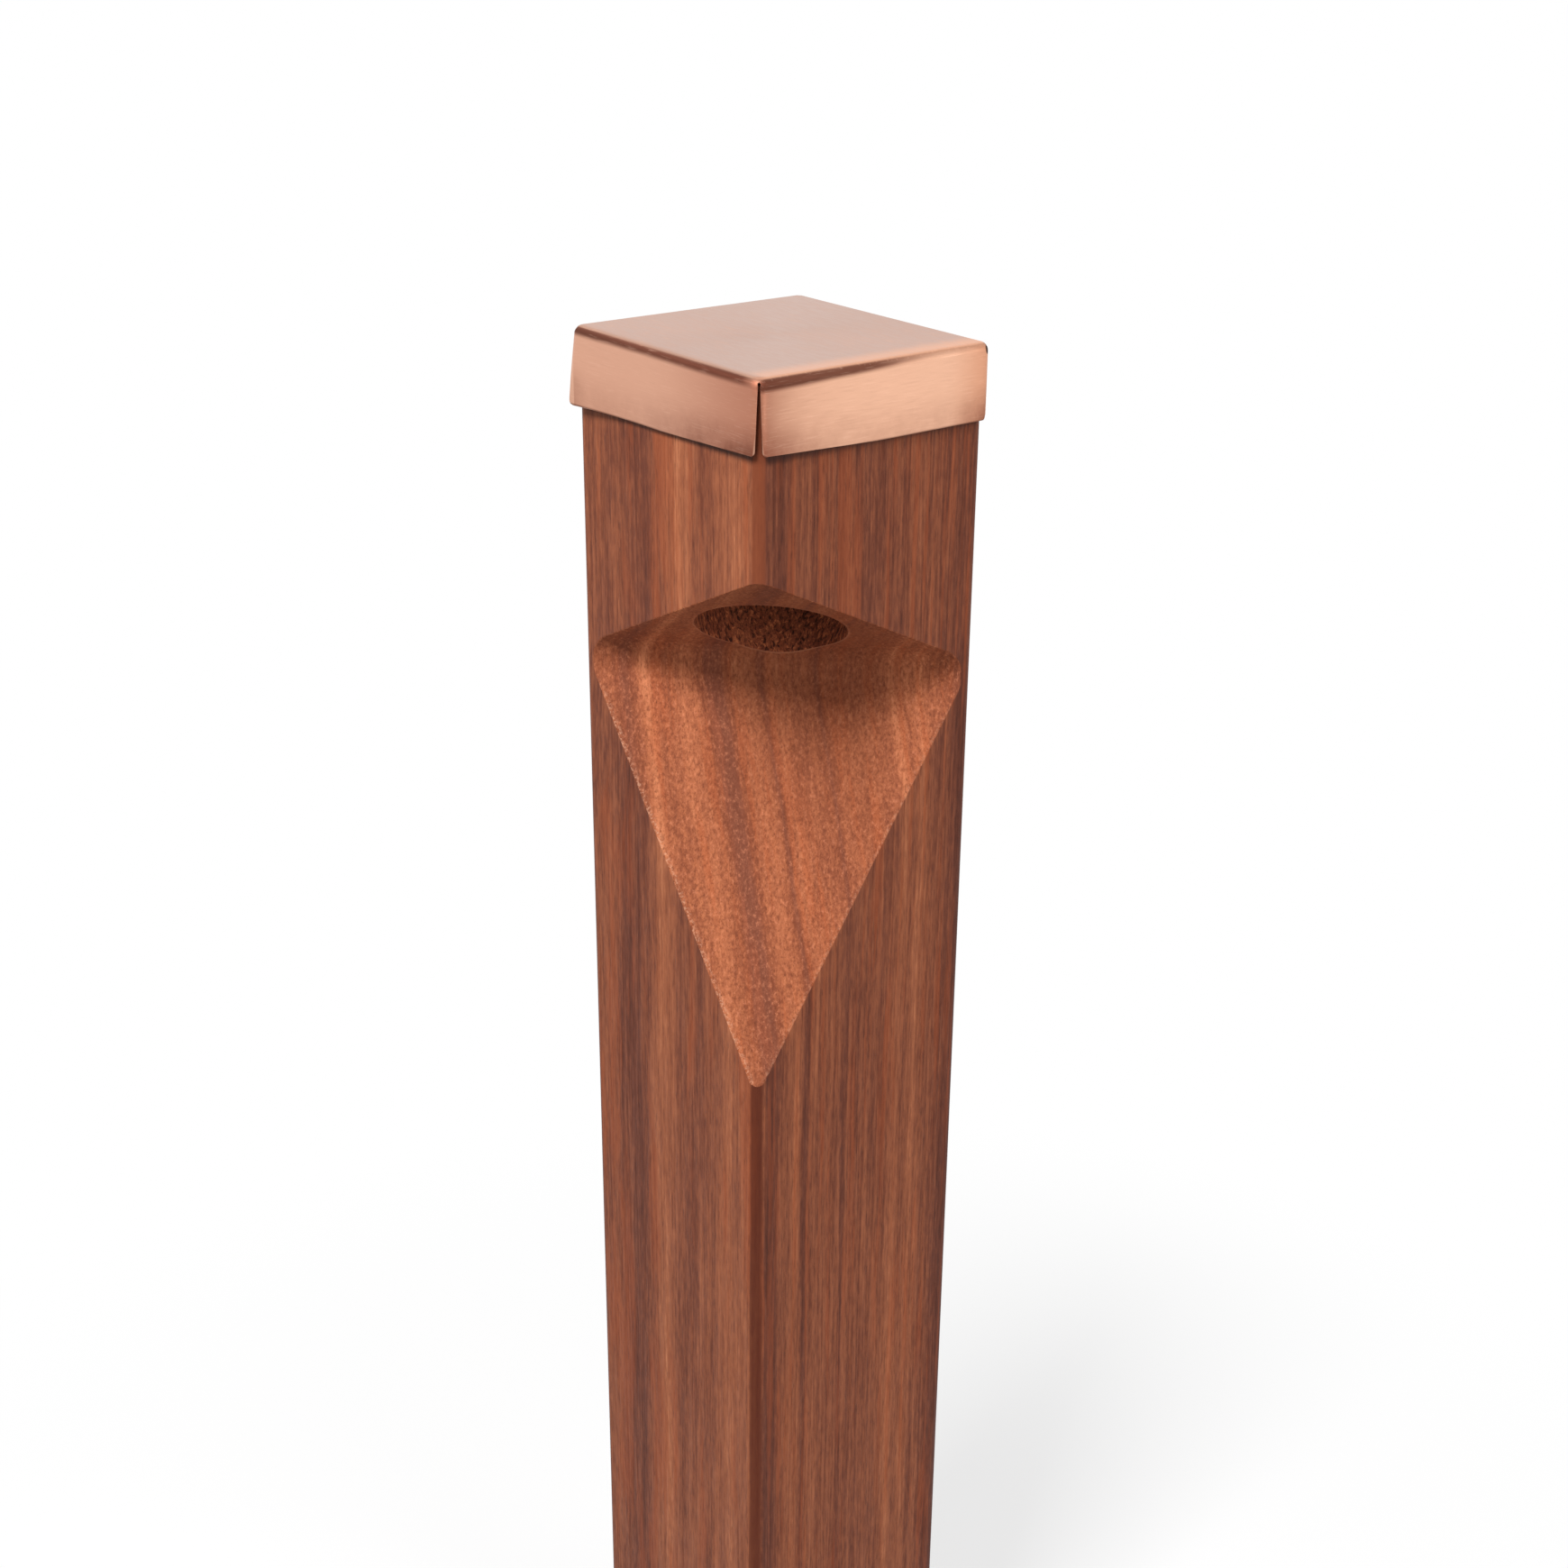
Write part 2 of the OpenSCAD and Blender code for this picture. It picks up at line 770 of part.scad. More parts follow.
module holder_screws() {
    seat = holder_front + holder_screw_sink;
    l = can_floor - seat + holder_screw_past;
    color("silver")
    on_bore()
        holder_screw_places(seat)
            pan_screw(holder_screw_d, holder_screw_head_d, holder_screw_head_h, l);
}

// A core inside the can: from the lead's end at the bush to its contact in the holder
function inner_route(i) = concat(
    [for (p = inner_tails[i]) bore_point(p[0], p[1], can_floor + p[2])],
    [
        for (back = [holder_w / 2 + 1, contact_r + fit_gap])
        bore_point(back, (1 - 2 * i) * pin_pitch / 2, lead_level)
    ]
);

module holder_leads() {
    color("saddlebrown")
    for (i = [0, 1])
        tube_along(spline(inner_route(i), 4), core_d / 2, 8);
}

module can_bush() {
    color("black")
    on_bore()
        bush_place(0)
            difference() {
                union() {
                    translate([0, 0, can_floor - bush_step])
                        cylinder(r = bush_r, h = can_rear_t + bush_step);
                    translate([0, 0, can_back])
                        cylinder(r = bush_collar_r, h = bush_collar_t);
                    translate([0, 0, can_back + bush_collar_t])
                        cylinder(r1 = bush_r, r2 = bush_tail_r, h = bush_tail_l);
                }
                translate([0, 0, can_floor - past])
                    cylinder(d = lead_d + 2 * fit_gap, h = can_rear_t + 4 + past);
            }
}

module lamp_lead() {
    bush_end = can_back + bush_collar_t + bush_tail_l;
    levels = [can_floor - lead_in, can_back, bush_end, bush_end + lead_straight];
    start = [for (up = levels) bore_point(bush_in, bush_side, up)];
    color("dimgray")
    tube_along(spline(concat(start, [for (p = lead_tail) pocket_point(p)]), 3), lead_d / 2, 12);
}

// A core in the pocket: from the lead's end to its pole of the terminal block
function outer_route(i) = concat(
    [for (p = core_tails[i]) pocket_point(p)],
    [
        for (x = [-block_l / 2, core_in_tube - block_l / 2])
        pocket_point([block_shift + x, (2 * i - 1) * pole_pitch / 2, tube_level])
    ]
);

module lead_cores() {
    color("saddlebrown")
    for (i = [0, 1])
        tube_along(spline(outer_route(i), 4), core_d / 2, 8);
}

module pole_places() {
    for (side = [-1, 1])
        translate([0, side * pole_pitch / 2, tube_level])
            rotate([0, 90, 0])
                children();
}

module terminal_screw_places(z) {
    for (x = [-terminal_screw_pitch / 2, terminal_screw_pitch / 2])
        for (side = [-1, 1])
            translate([x, side * pole_pitch / 2, z])
                children();
}

module terminal_block() {
    sink = block_screw_d / 2;
    color("white")
    in_pocket()
        translate([block_shift, 0, 0])
            difference() {
                translate([-block_l / 2, -block_w / 2, 0])
                    cube([block_l, block_w, block_h]);
                pole_places()
                    cylinder(d = tube_d + 2 * fit_gap, h = block_l + 2 * past, center = true, $fn = 32);
                terminal_screw_places(tube_level)
                    cylinder(d = screw_well_d, h = block_h, $fn = 24);
                translate([0, 0, -past])
                    cylinder(d = block_screw_d + 2 * run_gap, h = block_h + 2 * past, $fn = 24);
                translate([0, 0, block_h - sink])
                    cylinder(d1 = block_screw_d, d2 = 2 * block_screw_d + 2, h = sink + 1, $fn = 24);
            }
}

module terminal_tubes() {
    color("gold")
    in_pocket()
        translate([block_shift, 0, 0])
            difference() {
                pole_places()
                    cylinder(d = tube_d, h = block_l - 2 * tube_inset, center = true, $fn = 32);
                pole_places()
                    cylinder(d = tube_bore_d, h = block_l + 2 * past, center = true, $fn = 32);
                terminal_screw_places(tube_level)
                    cylinder(d = terminal_screw_d + 2 * fit_gap, h = tube_d, $fn = 24);
            }
}

module terminal_screws() {
    color("silver")
    in_pocket()
        translate([block_shift, 0, 0])
            terminal_screw_places(tube_level + tube_bore_d / 2)
                cylinder(d = terminal_screw_d, h = terminal_screw_l, $fn = 24);
}

module block_screw() {
    color("silver")
    in_pocket()
        translate([block_shift, 0, block_h])
            rotate([180, 0, 0])
                countersunk_screw(block_screw_d, 2 * block_screw_d, block_screw_l);
}

timber_post();
copper_cap();
cap_seal();
base_plate();
foot_pad();
base_screws();
cable_grommet();
lamp_can();
can_o_rings();
window_ring();
window_glass();
window_gasket();
lamp_reflector();
lamp_front_glass();
lamp_capsule();
lamp_base();
lamp_pins();
lamp_holder();
holder_contacts();
holder_screws();
holder_leads();
can_bush();
lamp_lead();
lead_cores();
terminal_block();
terminal_tubes();
terminal_screws();
block_screw();
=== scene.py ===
"""Looks of the timber pillar light: grain, folded copper, sealed lamp and fittings."""
import math
from collections import namedtuple

import bmesh
import bpy
from mathutils import Matrix, Vector, noise


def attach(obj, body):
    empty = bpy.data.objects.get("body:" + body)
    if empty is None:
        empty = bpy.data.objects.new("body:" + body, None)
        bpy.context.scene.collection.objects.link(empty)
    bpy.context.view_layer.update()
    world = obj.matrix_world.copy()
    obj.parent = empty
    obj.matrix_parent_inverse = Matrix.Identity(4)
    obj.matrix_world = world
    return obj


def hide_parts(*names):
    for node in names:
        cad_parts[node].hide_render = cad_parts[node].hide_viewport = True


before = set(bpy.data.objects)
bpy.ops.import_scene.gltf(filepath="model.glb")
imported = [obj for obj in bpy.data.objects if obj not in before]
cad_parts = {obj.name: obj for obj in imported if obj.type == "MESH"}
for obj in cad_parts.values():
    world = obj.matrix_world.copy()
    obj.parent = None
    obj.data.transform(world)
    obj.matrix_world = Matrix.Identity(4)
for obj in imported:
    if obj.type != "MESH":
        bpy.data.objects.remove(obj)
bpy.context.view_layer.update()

MM = 0.001
SQ2 = math.sqrt(2)

# Sizes, in millimetres, as the timber, sheet and lamp are cut; a cutter runs past the wood by PASS
PASS = 1.0
OVERALL = 600.0
POST_W = 90.0
ARRIS = 2.5
POST_FOOT = 9.0
POST_TOP = 598.1
NICHE_TOP = 540.5
NICHE_H = 174.0
CEILING = math.radians(35)
FLOOR = math.radians(64)
NICHE_R = 10.0
NICHE_EASED_R = 12.5
BORE_D = 48.0
BORE_DEPTH = 76.0
BORE_ALONG = 48.0
POCKET_D = 33.0
POCKET_FLOOR = 580.6
POCKET_BACK = 23.5
WIRE_D = 13.0
WIRE_AT = (-27.0, 15.0)
BASE_SCREW_AT = (18.0, 33.0)
BASE_SCREW_HOLE = 6.2
BASE_SCREW_DEPTH = 71.0
POST_EASE = 0.45
CAP_HALF = 45.95
SHEET = 0.7
FOLD_R = 2.6
SKIRT = 24.0
SLIT_TOP = 0.8
SLIT_FOOT = 2.3
SKIRT_CORNER = 1.8
CAP_EASE = 0.13

HALF = POST_W / 2
MOUTH_XY = HALF - BORE_ALONG * math.cos(CEILING) / SQ2
MOUTH_Z = NICHE_TOP - BORE_ALONG * math.sin(CEILING)
NICHE_IN = NICHE_H / (math.tan(CEILING) + math.tan(FLOOR))


def frame_matrix(x_axis, y_axis, z_axis, place):
    """Lays a shape along the given axes at a place in millimetres."""
    rows = [[x_axis[i], y_axis[i], z_axis[i], place[i] * MM] for i in range(3)]
    return Matrix(rows + [[0, 0, 0, 1]])


# The lamp bore: local X down the slope to the post's back, local Z up the bore
BORE_X = Vector((-math.cos(CEILING) / SQ2, math.cos(CEILING) / SQ2, -math.sin(CEILING)))
BORE_Y = Vector((-1 / SQ2, -1 / SQ2, 0))
BORE_Z = Vector((-math.sin(CEILING) / SQ2, math.sin(CEILING) / SQ2, math.cos(CEILING)))
MOUTH = Vector((MOUTH_XY, -MOUTH_XY, MOUTH_Z))
ON_BORE = frame_matrix(BORE_X, BORE_Y, BORE_Z, MOUTH)
UPRIGHT = Matrix.Identity(4)


# Finishes

def paint(r, g, b):
    """Colour as read off a colour card, 0 to 255, made linear."""
    def linear(c):
        c /= 255
        return c / 12.92 if c <= 0.04045 else ((c + 0.055) / 1.055) ** 2.4
    return (linear(r), linear(g), linear(b), 1.0)


class Output:
    """One value that a node gives; its sums and products are nodes too."""

    def __init__(self, nodes, socket):
        self.nodes = nodes
        self.socket = socket

    def __add__(self, other):
        return self.nodes.math("ADD", self, other)

    def __radd__(self, other):
        return self.nodes.math("ADD", other, self)

    def __sub__(self, other):
        return self.nodes.math("SUBTRACT", self, other)

    def __rsub__(self, other):
        return self.nodes.math("SUBTRACT", other, self)

    def __mul__(self, other):
        return self.nodes.math("MULTIPLY", self, other)

    def __truediv__(self, other):
        return self.nodes.math("DIVIDE", self, other)

    def __abs__(self):
        return self.nodes.math("ABSOLUTE", self)


class Nodes:
    """A node tree, with short ways to add nodes and link them."""

    def __init__(self, tree):
        self.tree = tree

    def add(self, kind, sockets=None, **settings):
        node = self.tree.nodes.new(kind)
        for key, value in settings.items():
            setattr(node, key, value)
        for key, value in (sockets or {}).items():
            self.put(node.inputs[key], value)
        return node

    def put(self, socket, value):
        if isinstance(value, Output):
            value = value.socket
        if isinstance(value, bpy.types.NodeSocket):
            self.tree.links.new(value, socket)
        else:
            socket.default_value = value

    def math(self, operation, a, b=0.0, c=0.0):
        node = self.add("ShaderNodeMath", {0: a, 1: b, 2: c}, operation=operation)
        return Output(self, node.outputs[0])

    def split(self, vector):
        return [Output(self, part) for part in self.add("ShaderNodeSeparateXYZ", {0: vector}).outputs]

    def join(self, x, y, z):
        return self.add("ShaderNodeCombineXYZ", {0: x, 1: y, 2: z}).outputs[0]

    def remap(self, value, low, high, to_low=0.0, to_high=1.0, kind="SMOOTHSTEP"):
        sockets = {"Value": value, "From Min": low, "From Max": high, "To Min": to_low, "To Max": to_high}
        node = self.add("ShaderNodeMapRange", sockets, interpolation_type=kind)
        return Output(self, node.outputs["Result"])


class Finish(Nodes):
    """One material, on the object's own coordinates."""

    def __init__(self, name, **constants):
        self.material = bpy.data.materials.new(name)
        self.material.use_nodes = True
        super().__init__(self.material.node_tree)
        self.shader = self.tree.nodes["Principled BSDF"]
        self.place = self.add("ShaderNodeTexCoord").outputs["Object"]
        for socket, value in constants.items():
            self.set(socket.replace("_", " "), value)

    def set(self, socket, value):
        self.put(self.shader.inputs[socket], value)

    def vector(self, operation, a, b=(0, 0, 0)):
        node = self.add("ShaderNodeVectorMath", {0: a, 1: b}, operation=operation)
        if operation in ("DOT_PRODUCT", "LENGTH", "DISTANCE"):
            return Output(self, node.outputs["Value"])
        return node.outputs["Vector"]

    def noise(self, vector, scale, detail=2.0, rough=0.5, warp=0.0):
        sockets = {"Vector": vector, "Scale": scale, "Detail": detail}
        sockets.update({"Roughness": rough, "Distortion": warp})
        return Output(self, self.add("ShaderNodeTexNoise", sockets).outputs["Fac"])

    def cells(self, vector, scale):
        node = self.add("ShaderNodeTexVoronoi", {"Vector": vector, "Scale": scale})
        return Output(self, node.outputs["Distance"])

    def blend(self, factor, a, b):
        """Number between a and b."""
        node = self.add("ShaderNodeMix", {0: factor, 2: a, 3: b}, data_type="FLOAT")
        return Output(self, node.outputs[0])

    def ramp(self, factor, *stops):
        """Colour along a row of stops, each a place from 0 to 1 and a colour."""
        node = self.add("ShaderNodeValToRGB", {"Fac": factor})
        elements = node.color_ramp.elements
        while len(elements) < len(stops):
            elements.new(0.5)
        for element, (place, colour) in zip(elements, stops):
            element.position = place
            element.color = colour
        return node.outputs["Color"]

    def mix(self, factor, a, b):
        """Colour between a and b."""
        node = self.add("ShaderNodeMix", data_type="RGBA")
        self.put(node.inputs["Factor"], factor)
        for name, value in (("A", a), ("B", b)):
            self.put([s for s in node.inputs if s.name == name and s.type == "RGBA"][0], value)
        return [s for s in node.outputs if s.type == "RGBA"][0]

    def bump(self, height, strength, reach, under=None):
        sockets = {"Height": height, "Strength": strength, "Distance": reach * MM}
        if under is not None:
            sockets["Normal"] = under
        normal = self.add("ShaderNodeBump", sockets).outputs["Normal"]
        self.set("Normal", normal)
        return normal


# Growth layers of the timber stand upright and lean toward the right face. Its boldest streaks:
# millimetres from the post's middle, half width, and how much paler or darker
LAYER_DIR = (0.342, 0.940, 0.0)
LAYER_ALONG = (0.940, -0.342, 0.0)
STREAKS = (
    (-51, 5, -0.30), (-45, 3, 0.45), (-32, 7, 0.26), (-21, 6, -0.46), (-12, 5, 0.20), (-7, 2, -0.30),
    (-3, 3, 0.20), (9, 2, -0.30), (31, 4, 0.32), (38, 5, 0.28), (54, 9, -0.36),
)
RIGHT_FACE = 44.2
Timber = namedtuple("Timber", "colour height hairs streaks")


def timber(f, tone=0.0, pores=0.35, gain=0.58):
    """The solid pattern of the timber: its colour, the height of its grain, and two of its layers."""
    x, y, z = f.split(f.place)
    # Slow drift of the layers up the post; toward the left face they lean over near its top
    slow = f.vector("MULTIPLY", f.place, (9.0, 9.0, 3.4))
    drift = (f.noise(slow, 1.0, 1.5) - 0.5) * 0.006
    close = f.vector("MULTIPLY", f.place, (60.0, 60.0, 11.0))
    wander = (f.noise(close, 1.0, 2.0) - 0.5) * 0.0022
    across = f.vector("DOT_PRODUCT", f.place, LAYER_DIR)
    along = f.vector("DOT_PRODUCT", f.place, LAYER_ALONG)
    lean = f.remap(z, 0.42, 0.52, 0.0, -0.0048) * f.remap(across, -0.027, -0.034)
    across = across + lean + (drift + wander)
    # Boldest streaks
    streaks = 0.5
    for middle, width, change in STREAKS:
        off = abs(across - middle * MM)
        streaks = streaks + f.remap(off, width * MM, 0.0, 0.0, change)
    on_right = f.math("GREATER_THAN", x, RIGHT_FACE * MM)
    even = f.remap(z, 0.47, 0.53) * on_right * 0.62
    streaks = f.blend(even, streaks, 0.50)
    # Finer layers, hairlines, flecks and open pores
    layer_place = f.join(across, along * 0.16, z * 0.012)
    layers = f.noise(layer_place, 620.0, 3.0, 0.66)
    hairs = f.noise(f.join(x, y, z * 0.03), 1300.0, 2.0, 0.6)
    flecks = f.noise(f.join(x, y, z * 0.20), 850.0, 3.0, 0.68)
    pore = f.remap(f.noise(f.join(x, y, z * 0.09), 2100.0, 1.0), 0.60, 0.74)
    blotch = f.noise(f.vector("MULTIPLY", f.place, (40.0, 40.0, 9.0)), 1.0, 3.0, 0.6)
    value = (streaks - 0.5) * gain
    for part, share_of_tone in ((layers, 0.66), (hairs, 0.46), (flecks, 0.62), (blotch, 0.32)):
        value = value + (part - 0.5) * share_of_tone
    # Painted shade: the upper part of the right face is made slightly darker
    shaded = f.remap(z, 0.44, 0.53) * on_right * 0.07
    value = value - shaded + (0.455 + tone)
    colour = f.ramp(
        value,
        (0.08, paint(84, 42, 29)),
        (0.30, paint(112, 60, 42)),
        (0.50, paint(141, 80, 54)),
        (0.70, paint(165, 97, 65)),
        (0.94, paint(196, 123, 85)),
    )
    # Some layers are more orange, others more mauve
    hue_place = f.join(across + 0.4, along * 0.10, z * 0.03)
    hue = f.noise(hue_place, 330.0, 3.0, 0.6)
    orange = f.remap(hue, 0.50, 0.66) * 0.40
    mauve = f.remap(hue, 0.48, 0.34) * 0.10
    colour = f.mix(orange, colour, paint(165, 82, 46))
    colour = f.mix(mauve, colour, paint(116, 68, 55))
    greyed = f.remap(streaks, 0.30, 0.12) * 0.10
    colour = f.mix(greyed, colour, paint(96, 53, 43))
    colour = f.mix(pore * pores, colour, paint(66, 32, 22))
    # What the cap covers is darker, with a soft dark line at the skirts' foot: painted shade under the
    # cap and a painted contact shadow, also standing for stain
    shade_and_stain_under_cap = f.remap(z, 0.5738, 0.5764) * 0.80
    colour = f.mix(shade_and_stain_under_cap, colour, paint(50, 25, 18))
    height = hairs * 0.6 + layers * 0.5
    height = height - pore * 0.8
    return Timber(colour, height, hairs, streaks)


def planed_hardwood():
    """Oiled red-brown hardwood; one solid pattern, so cut faces show the same streaks."""
    f = Finish("planed_hardwood", Specular_IOR_Level=0.16)
    wood = timber(f)
    # The sanded arrises took up more oil, so they are darker and warmer
    x, y, z = f.split(f.place)
    out = abs(x) + abs(y)
    out = out + (wood.hairs - 0.5) * 0.0012
    arris = f.remap(out, 0.0864, 0.0872)
    warm = f.mix(f.remap(z, 0.55, 0.36), paint(120, 60, 36), paint(84, 34, 18))
    f.set("Base Color", f.mix(arris * 0.82, wood.colour, warm))
    f.set("Roughness", f.remap(wood.hairs, 0.3, 0.7, 0.64, 0.50))
    f.bump(wood.height, 0.30, 0.25)
    return f.material


def from_mouth(f):
    """Offset from the middle of the lamp bore's mouth."""
    return f.vector("SUBTRACT", f.place, tuple(MOUTH * MM))


def about_bore(f):
    """Distance from the lamp bore's axis, and place up along it."""
    offset = from_mouth(f)
    up = f.vector("DOT_PRODUCT", offset, tuple(BORE_Z))
    on_axis = f.add("ShaderNodeVectorMath", {0: tuple(BORE_Z), "Scale": up}, operation="SCALE")
    return f.vector("LENGTH", f.vector("SUBTRACT", offset, on_axis.outputs["Vector"])), up


def cut_hardwood():
    """Where a cutter crossed the grain: rougher, with torn fibres and a faint ripple of its teeth."""
    f = Finish("cut_hardwood", Specular_IOR_Level=0.10)
    wood = timber(f, tone=0.06, pores=0.45, gain=0.74)
    colour = f.mix(0.18, wood.colour, paint(190, 104, 66))
    dusky = f.remap(wood.streaks, 0.36, 0.12) * 0.30
    colour = f.mix(dusky, colour, paint(132, 82, 66))
    x, y, z = f.split(f.place)
    fuzz = f.noise(f.vector("ADD", f.join(x, y, z * 0.6), (0.3, 0.1, 0.2)), 900.0, 4.0, 0.75)
    light = f.remap(fuzz, 0.50, 0.70) * 0.42
    shade = f.remap(fuzz, 0.49, 0.37) * 0.50
    colour = f.mix(light, colour, paint(216, 136, 100))
    colour = f.mix(shade, colour, paint(106, 52, 33))
    # Painted shadow: the upper middle of the slope is darker, where the ceiling's shadow falls
    level_way = (x + y) / SQ2
    middle = f.remap(level_way, -0.030, -0.006) * f.remap(level_way, 0.046, 0.026)
    painted_ceiling_shadow = f.remap(z, 0.425, 0.470) * middle * 0.26
    colour = f.mix(painted_ceiling_shadow, colour, paint(98, 48, 28))
    # Pale broken fibres along the niche's left edge, and faintly its right, painted as catching the
    # light; and a painted highlight round the mouth of the bore, strongest on its lower side
    frayed = f.remap(f.noise(f.place, 1100.0, 4.0, 0.75), 0.47, 0.60)
    left_edge = f.remap(y, -0.0434, -0.0446)
    right_edge = f.remap(x, 0.0440, 0.0447) * 0.45
    edges = f.math("MAXIMUM", left_edge, right_edge) * f.remap(z, 0.490, 0.474)
    edges = edges * frayed
    colour = f.mix(edges * 0.48, colour, paint(214, 160, 130))
    radius, _ = about_bore(f)
    lip = f.remap(abs(radius - (BORE_D / 2 + 0.25) * MM), 0.0006, 0.0002)
    down_slope = f.vector("DOT_PRODUCT", from_mouth(f), tuple(BORE_X))
    lip = lip * f.remap(down_slope, -0.012, 0.016, 0.08, 0.36)
    colour = f.mix(lip, colour, paint(192, 128, 96))
    f.set("Base Color", colour)
    f.set("Roughness", f.remap(fuzz, 0.3, 0.7, 0.62, 0.78))
    teeth = f.math("SINE", (z + fuzz * 0.0008) * 3100.0)
    low_down = f.remap(z, 0.44, 0.39)
    ripple = teeth * low_down * 0.10
    under = f.bump(wood.height + ripple, 0.40, 0.25)
    f.bump(fuzz, 0.55, 0.4, under)
    return f.material


def bored_hardwood():
    """Wall of a bore: dark torn grain and loose fibres."""
    f = Finish("bored_hardwood", Specular_IOR_Level=0.15, Roughness=0.85)
    wood = timber(f, tone=-0.08, pores=0.6)
    torn = f.noise(f.vector("MULTIPLY", f.place, (1.0, 1.0, 0.3)), 900.0, 4.0, 0.75, 0.6)
    colour = f.mix(0.50, wood.colour, paint(168, 84, 53))
    colour = f.mix(f.remap(torn, 0.50, 0.62) * 0.88, colour, paint(42, 18, 13))
    colour = f.mix(f.remap(torn, 0.47, 0.37) * 0.8, colour, paint(220, 126, 80))
    f.set("Base Color", colour)
    under = f.bump(wood.height, 0.6, 0.3)
    f.bump(torn, 0.9, 0.9, under)
    return f.material


def end_grain_hardwood():
    """Sawn end: rings across the post, with pores end on and fine saw marks."""
    f = Finish("end_grain_hardwood", Specular_IOR_Level=0.15, Roughness=0.85)
    wood = timber(f, tone=-0.14, pores=0.0)
    x, y, _ = f.split(f.place)
    dots = f.remap(f.cells(f.join(x, y, 0.0), 1150.0), 0.30, 0.12)
    saw = f.noise(f.join(x * 0.05, y, 0.0), 1400.0, 2.0)
    colour = f.mix(0.25, wood.colour, paint(96, 62, 46))
    colour = f.mix(dots * 0.6, colour, paint(52, 27, 20))
    f.set("Base Color", f.mix(f.remap(saw, 0.5, 0.7) * 0.25, colour, paint(170, 120, 92)))
    f.bump(saw, 0.5, 0.3)
    return f.material


# Share of the darkening by the front slit, dulling with painted shade, that is left at a skirt's far end
SLIT_DULLING_AND_SHADE = 0.00045


def satin_copper():
    """Satin copper: fine rolling lines, a top painted darker as reflection, a painted dark band under the
    folds, and skirts darker toward the front slit and foot with dulling and painted shade.
    """
    f = Finish("satin_copper", Metallic=1.0, Anisotropic=0.35)
    x, y, z = f.split(f.place)
    down = OVERALL * MM - z
    half = CAP_HALF * MM
    left = f.remap(y, -half + 0.0018, -half + 0.0006)
    right = f.remap(x, half - 0.0018, half - 0.0006)
    # Rolling lines run level along each skirt, and along X on the top
    along_x = f.noise(f.vector("MULTIPLY", f.place, (0.05, 0.40, 1.0)), 2500.0, 2.0, 0.6)
    along_y = f.noise(f.vector("MULTIPLY", f.place, (1.0, 0.05, 1.0)), 2500.0, 2.0, 0.6)
    across_x = f.math("GREATER_THAN", abs(x), half - 0.0006)
    grain = f.blend(across_x, along_x, along_y)
    cloud = f.noise(f.place, 30.0, 3.0, 0.55)
    smudge = f.noise(f.place, 75.0, 5.0, 0.70)
    # Both skirts are darker toward the front slit, and a little at their far ends, and the right skirt is
    # lighter than the left: dulling with painted shade and reflection
    share_x = f.remap(x, -half, half, kind="LINEAR")
    share_y = f.remap(y, -half, half, kind="LINEAR")
    # The top is darker than the skirts, darker toward the left fold and lighter toward the right fold:
    # painted reflection and shade
    top = f.mix(f.remap(x, 0.0340, 0.0425), paint(201, 162, 144), paint(231, 173, 140))
    top = f.mix(f.remap(y, -0.0410, -0.0438) * 0.8, top, paint(202, 154, 130))
    left_skirt = f.mix(f.remap(share_x, 0.40, 1.05), paint(222, 167, 140), paint(188, 126, 101))
    left_skirt = f.mix(f.remap(share_x, 0.02, 0.0), left_skirt, paint(160, 104, 81))
    slit_dulling_and_shade = f.math("POWER", SLIT_DULLING_AND_SHADE, share_y)
    right_skirt = f.mix(slit_dulling_and_shade, paint(235, 183, 153), paint(156, 96, 74))
    right_skirt = f.mix(f.remap(share_y, 0.78, 1.02), right_skirt, paint(217, 154, 121))
    right_skirt = f.mix(f.remap(share_y, 0.985, 1.0), right_skirt, paint(160, 104, 81))
    far_skirt = f.ramp(cloud, (0.3, paint(216, 158, 129)), (0.7, paint(238, 183, 153)))
    colour = f.mix(left, f.mix(right, far_skirt, right_skirt), left_skirt)
    # The lower part of each skirt is darker, most of all near the front slit: dulling with painted shade
    low = f.remap(down, 0.0100, 0.0245)
    on_left = f.remap(share_x, 0.35, 1.05, 0.22, 0.92) + f.remap(share_x, 0.12, 0.0, 0.0, 0.44)
    on_right = f.math("MULTIPLY_ADD", slit_dulling_and_shade, 0.75, f.remap(share_y, 0.80, 1.02, 0.25, 0.80))
    dull = f.blend(left, f.blend(right, 0.30, on_right), on_left)
    dull = low * dull * f.remap(smudge, 0.35, 0.65, 0.75, 1.25)
    colour = f.mix(f.math("MINIMUM", dull, 1.0), colour, paint(136, 82, 63))
    colour = f.mix(f.remap(down, 0.0012, 0.0002), colour, top)
    # Painted reflection: a soft dark band just under each fold, even on the left, tapering toward the
    # right end
    wave = (f.noise(f.place, 40.0, 1.0) - 0.5) * 0.0009
    foot = f.blend(right, 0.0028, f.remap(share_y, 0.0, 0.85, 0.0042, 0.0017, kind="LINEAR"))
    foot = foot + wave
    start = f.remap(down, 0.0001, 0.0006)
    stop = f.remap(foot - down, -0.0007, 0.0012)
    strength = f.blend(left, 0.60, f.remap(x, 0.0445, 0.0370, 0.25, 0.96))
    strength = f.blend(right, strength, f.remap(share_y, 0.45, 0.82, 0.94, 0.26))
    band = start * stop * strength
    colour = f.mix(band, colour, paint(98, 54, 41))
    # Painted highlight along the cut edges beside the slits; the sheared edge along the foot is darker
    slit_gap = f.remap(down, 0.0012, SKIRT * MM, SLIT_TOP / SQ2 * MM, SLIT_FOOT / SQ2 * MM, kind="LINEAR")
    to_slit = 2 * half - (abs(x) + abs(y))
    to_slit = to_slit - slit_gap
    cut = f.remap(to_slit, 0.0007, 0.0003) * f.remap(down, 0.0010, 0.0018)
    colour = f.mix(cut * 0.55, colour, paint(238, 188, 160))
    colour = f.mix(f.remap(down, 0.0234, 0.0239) * 0.7, colour, paint(112, 66, 50))
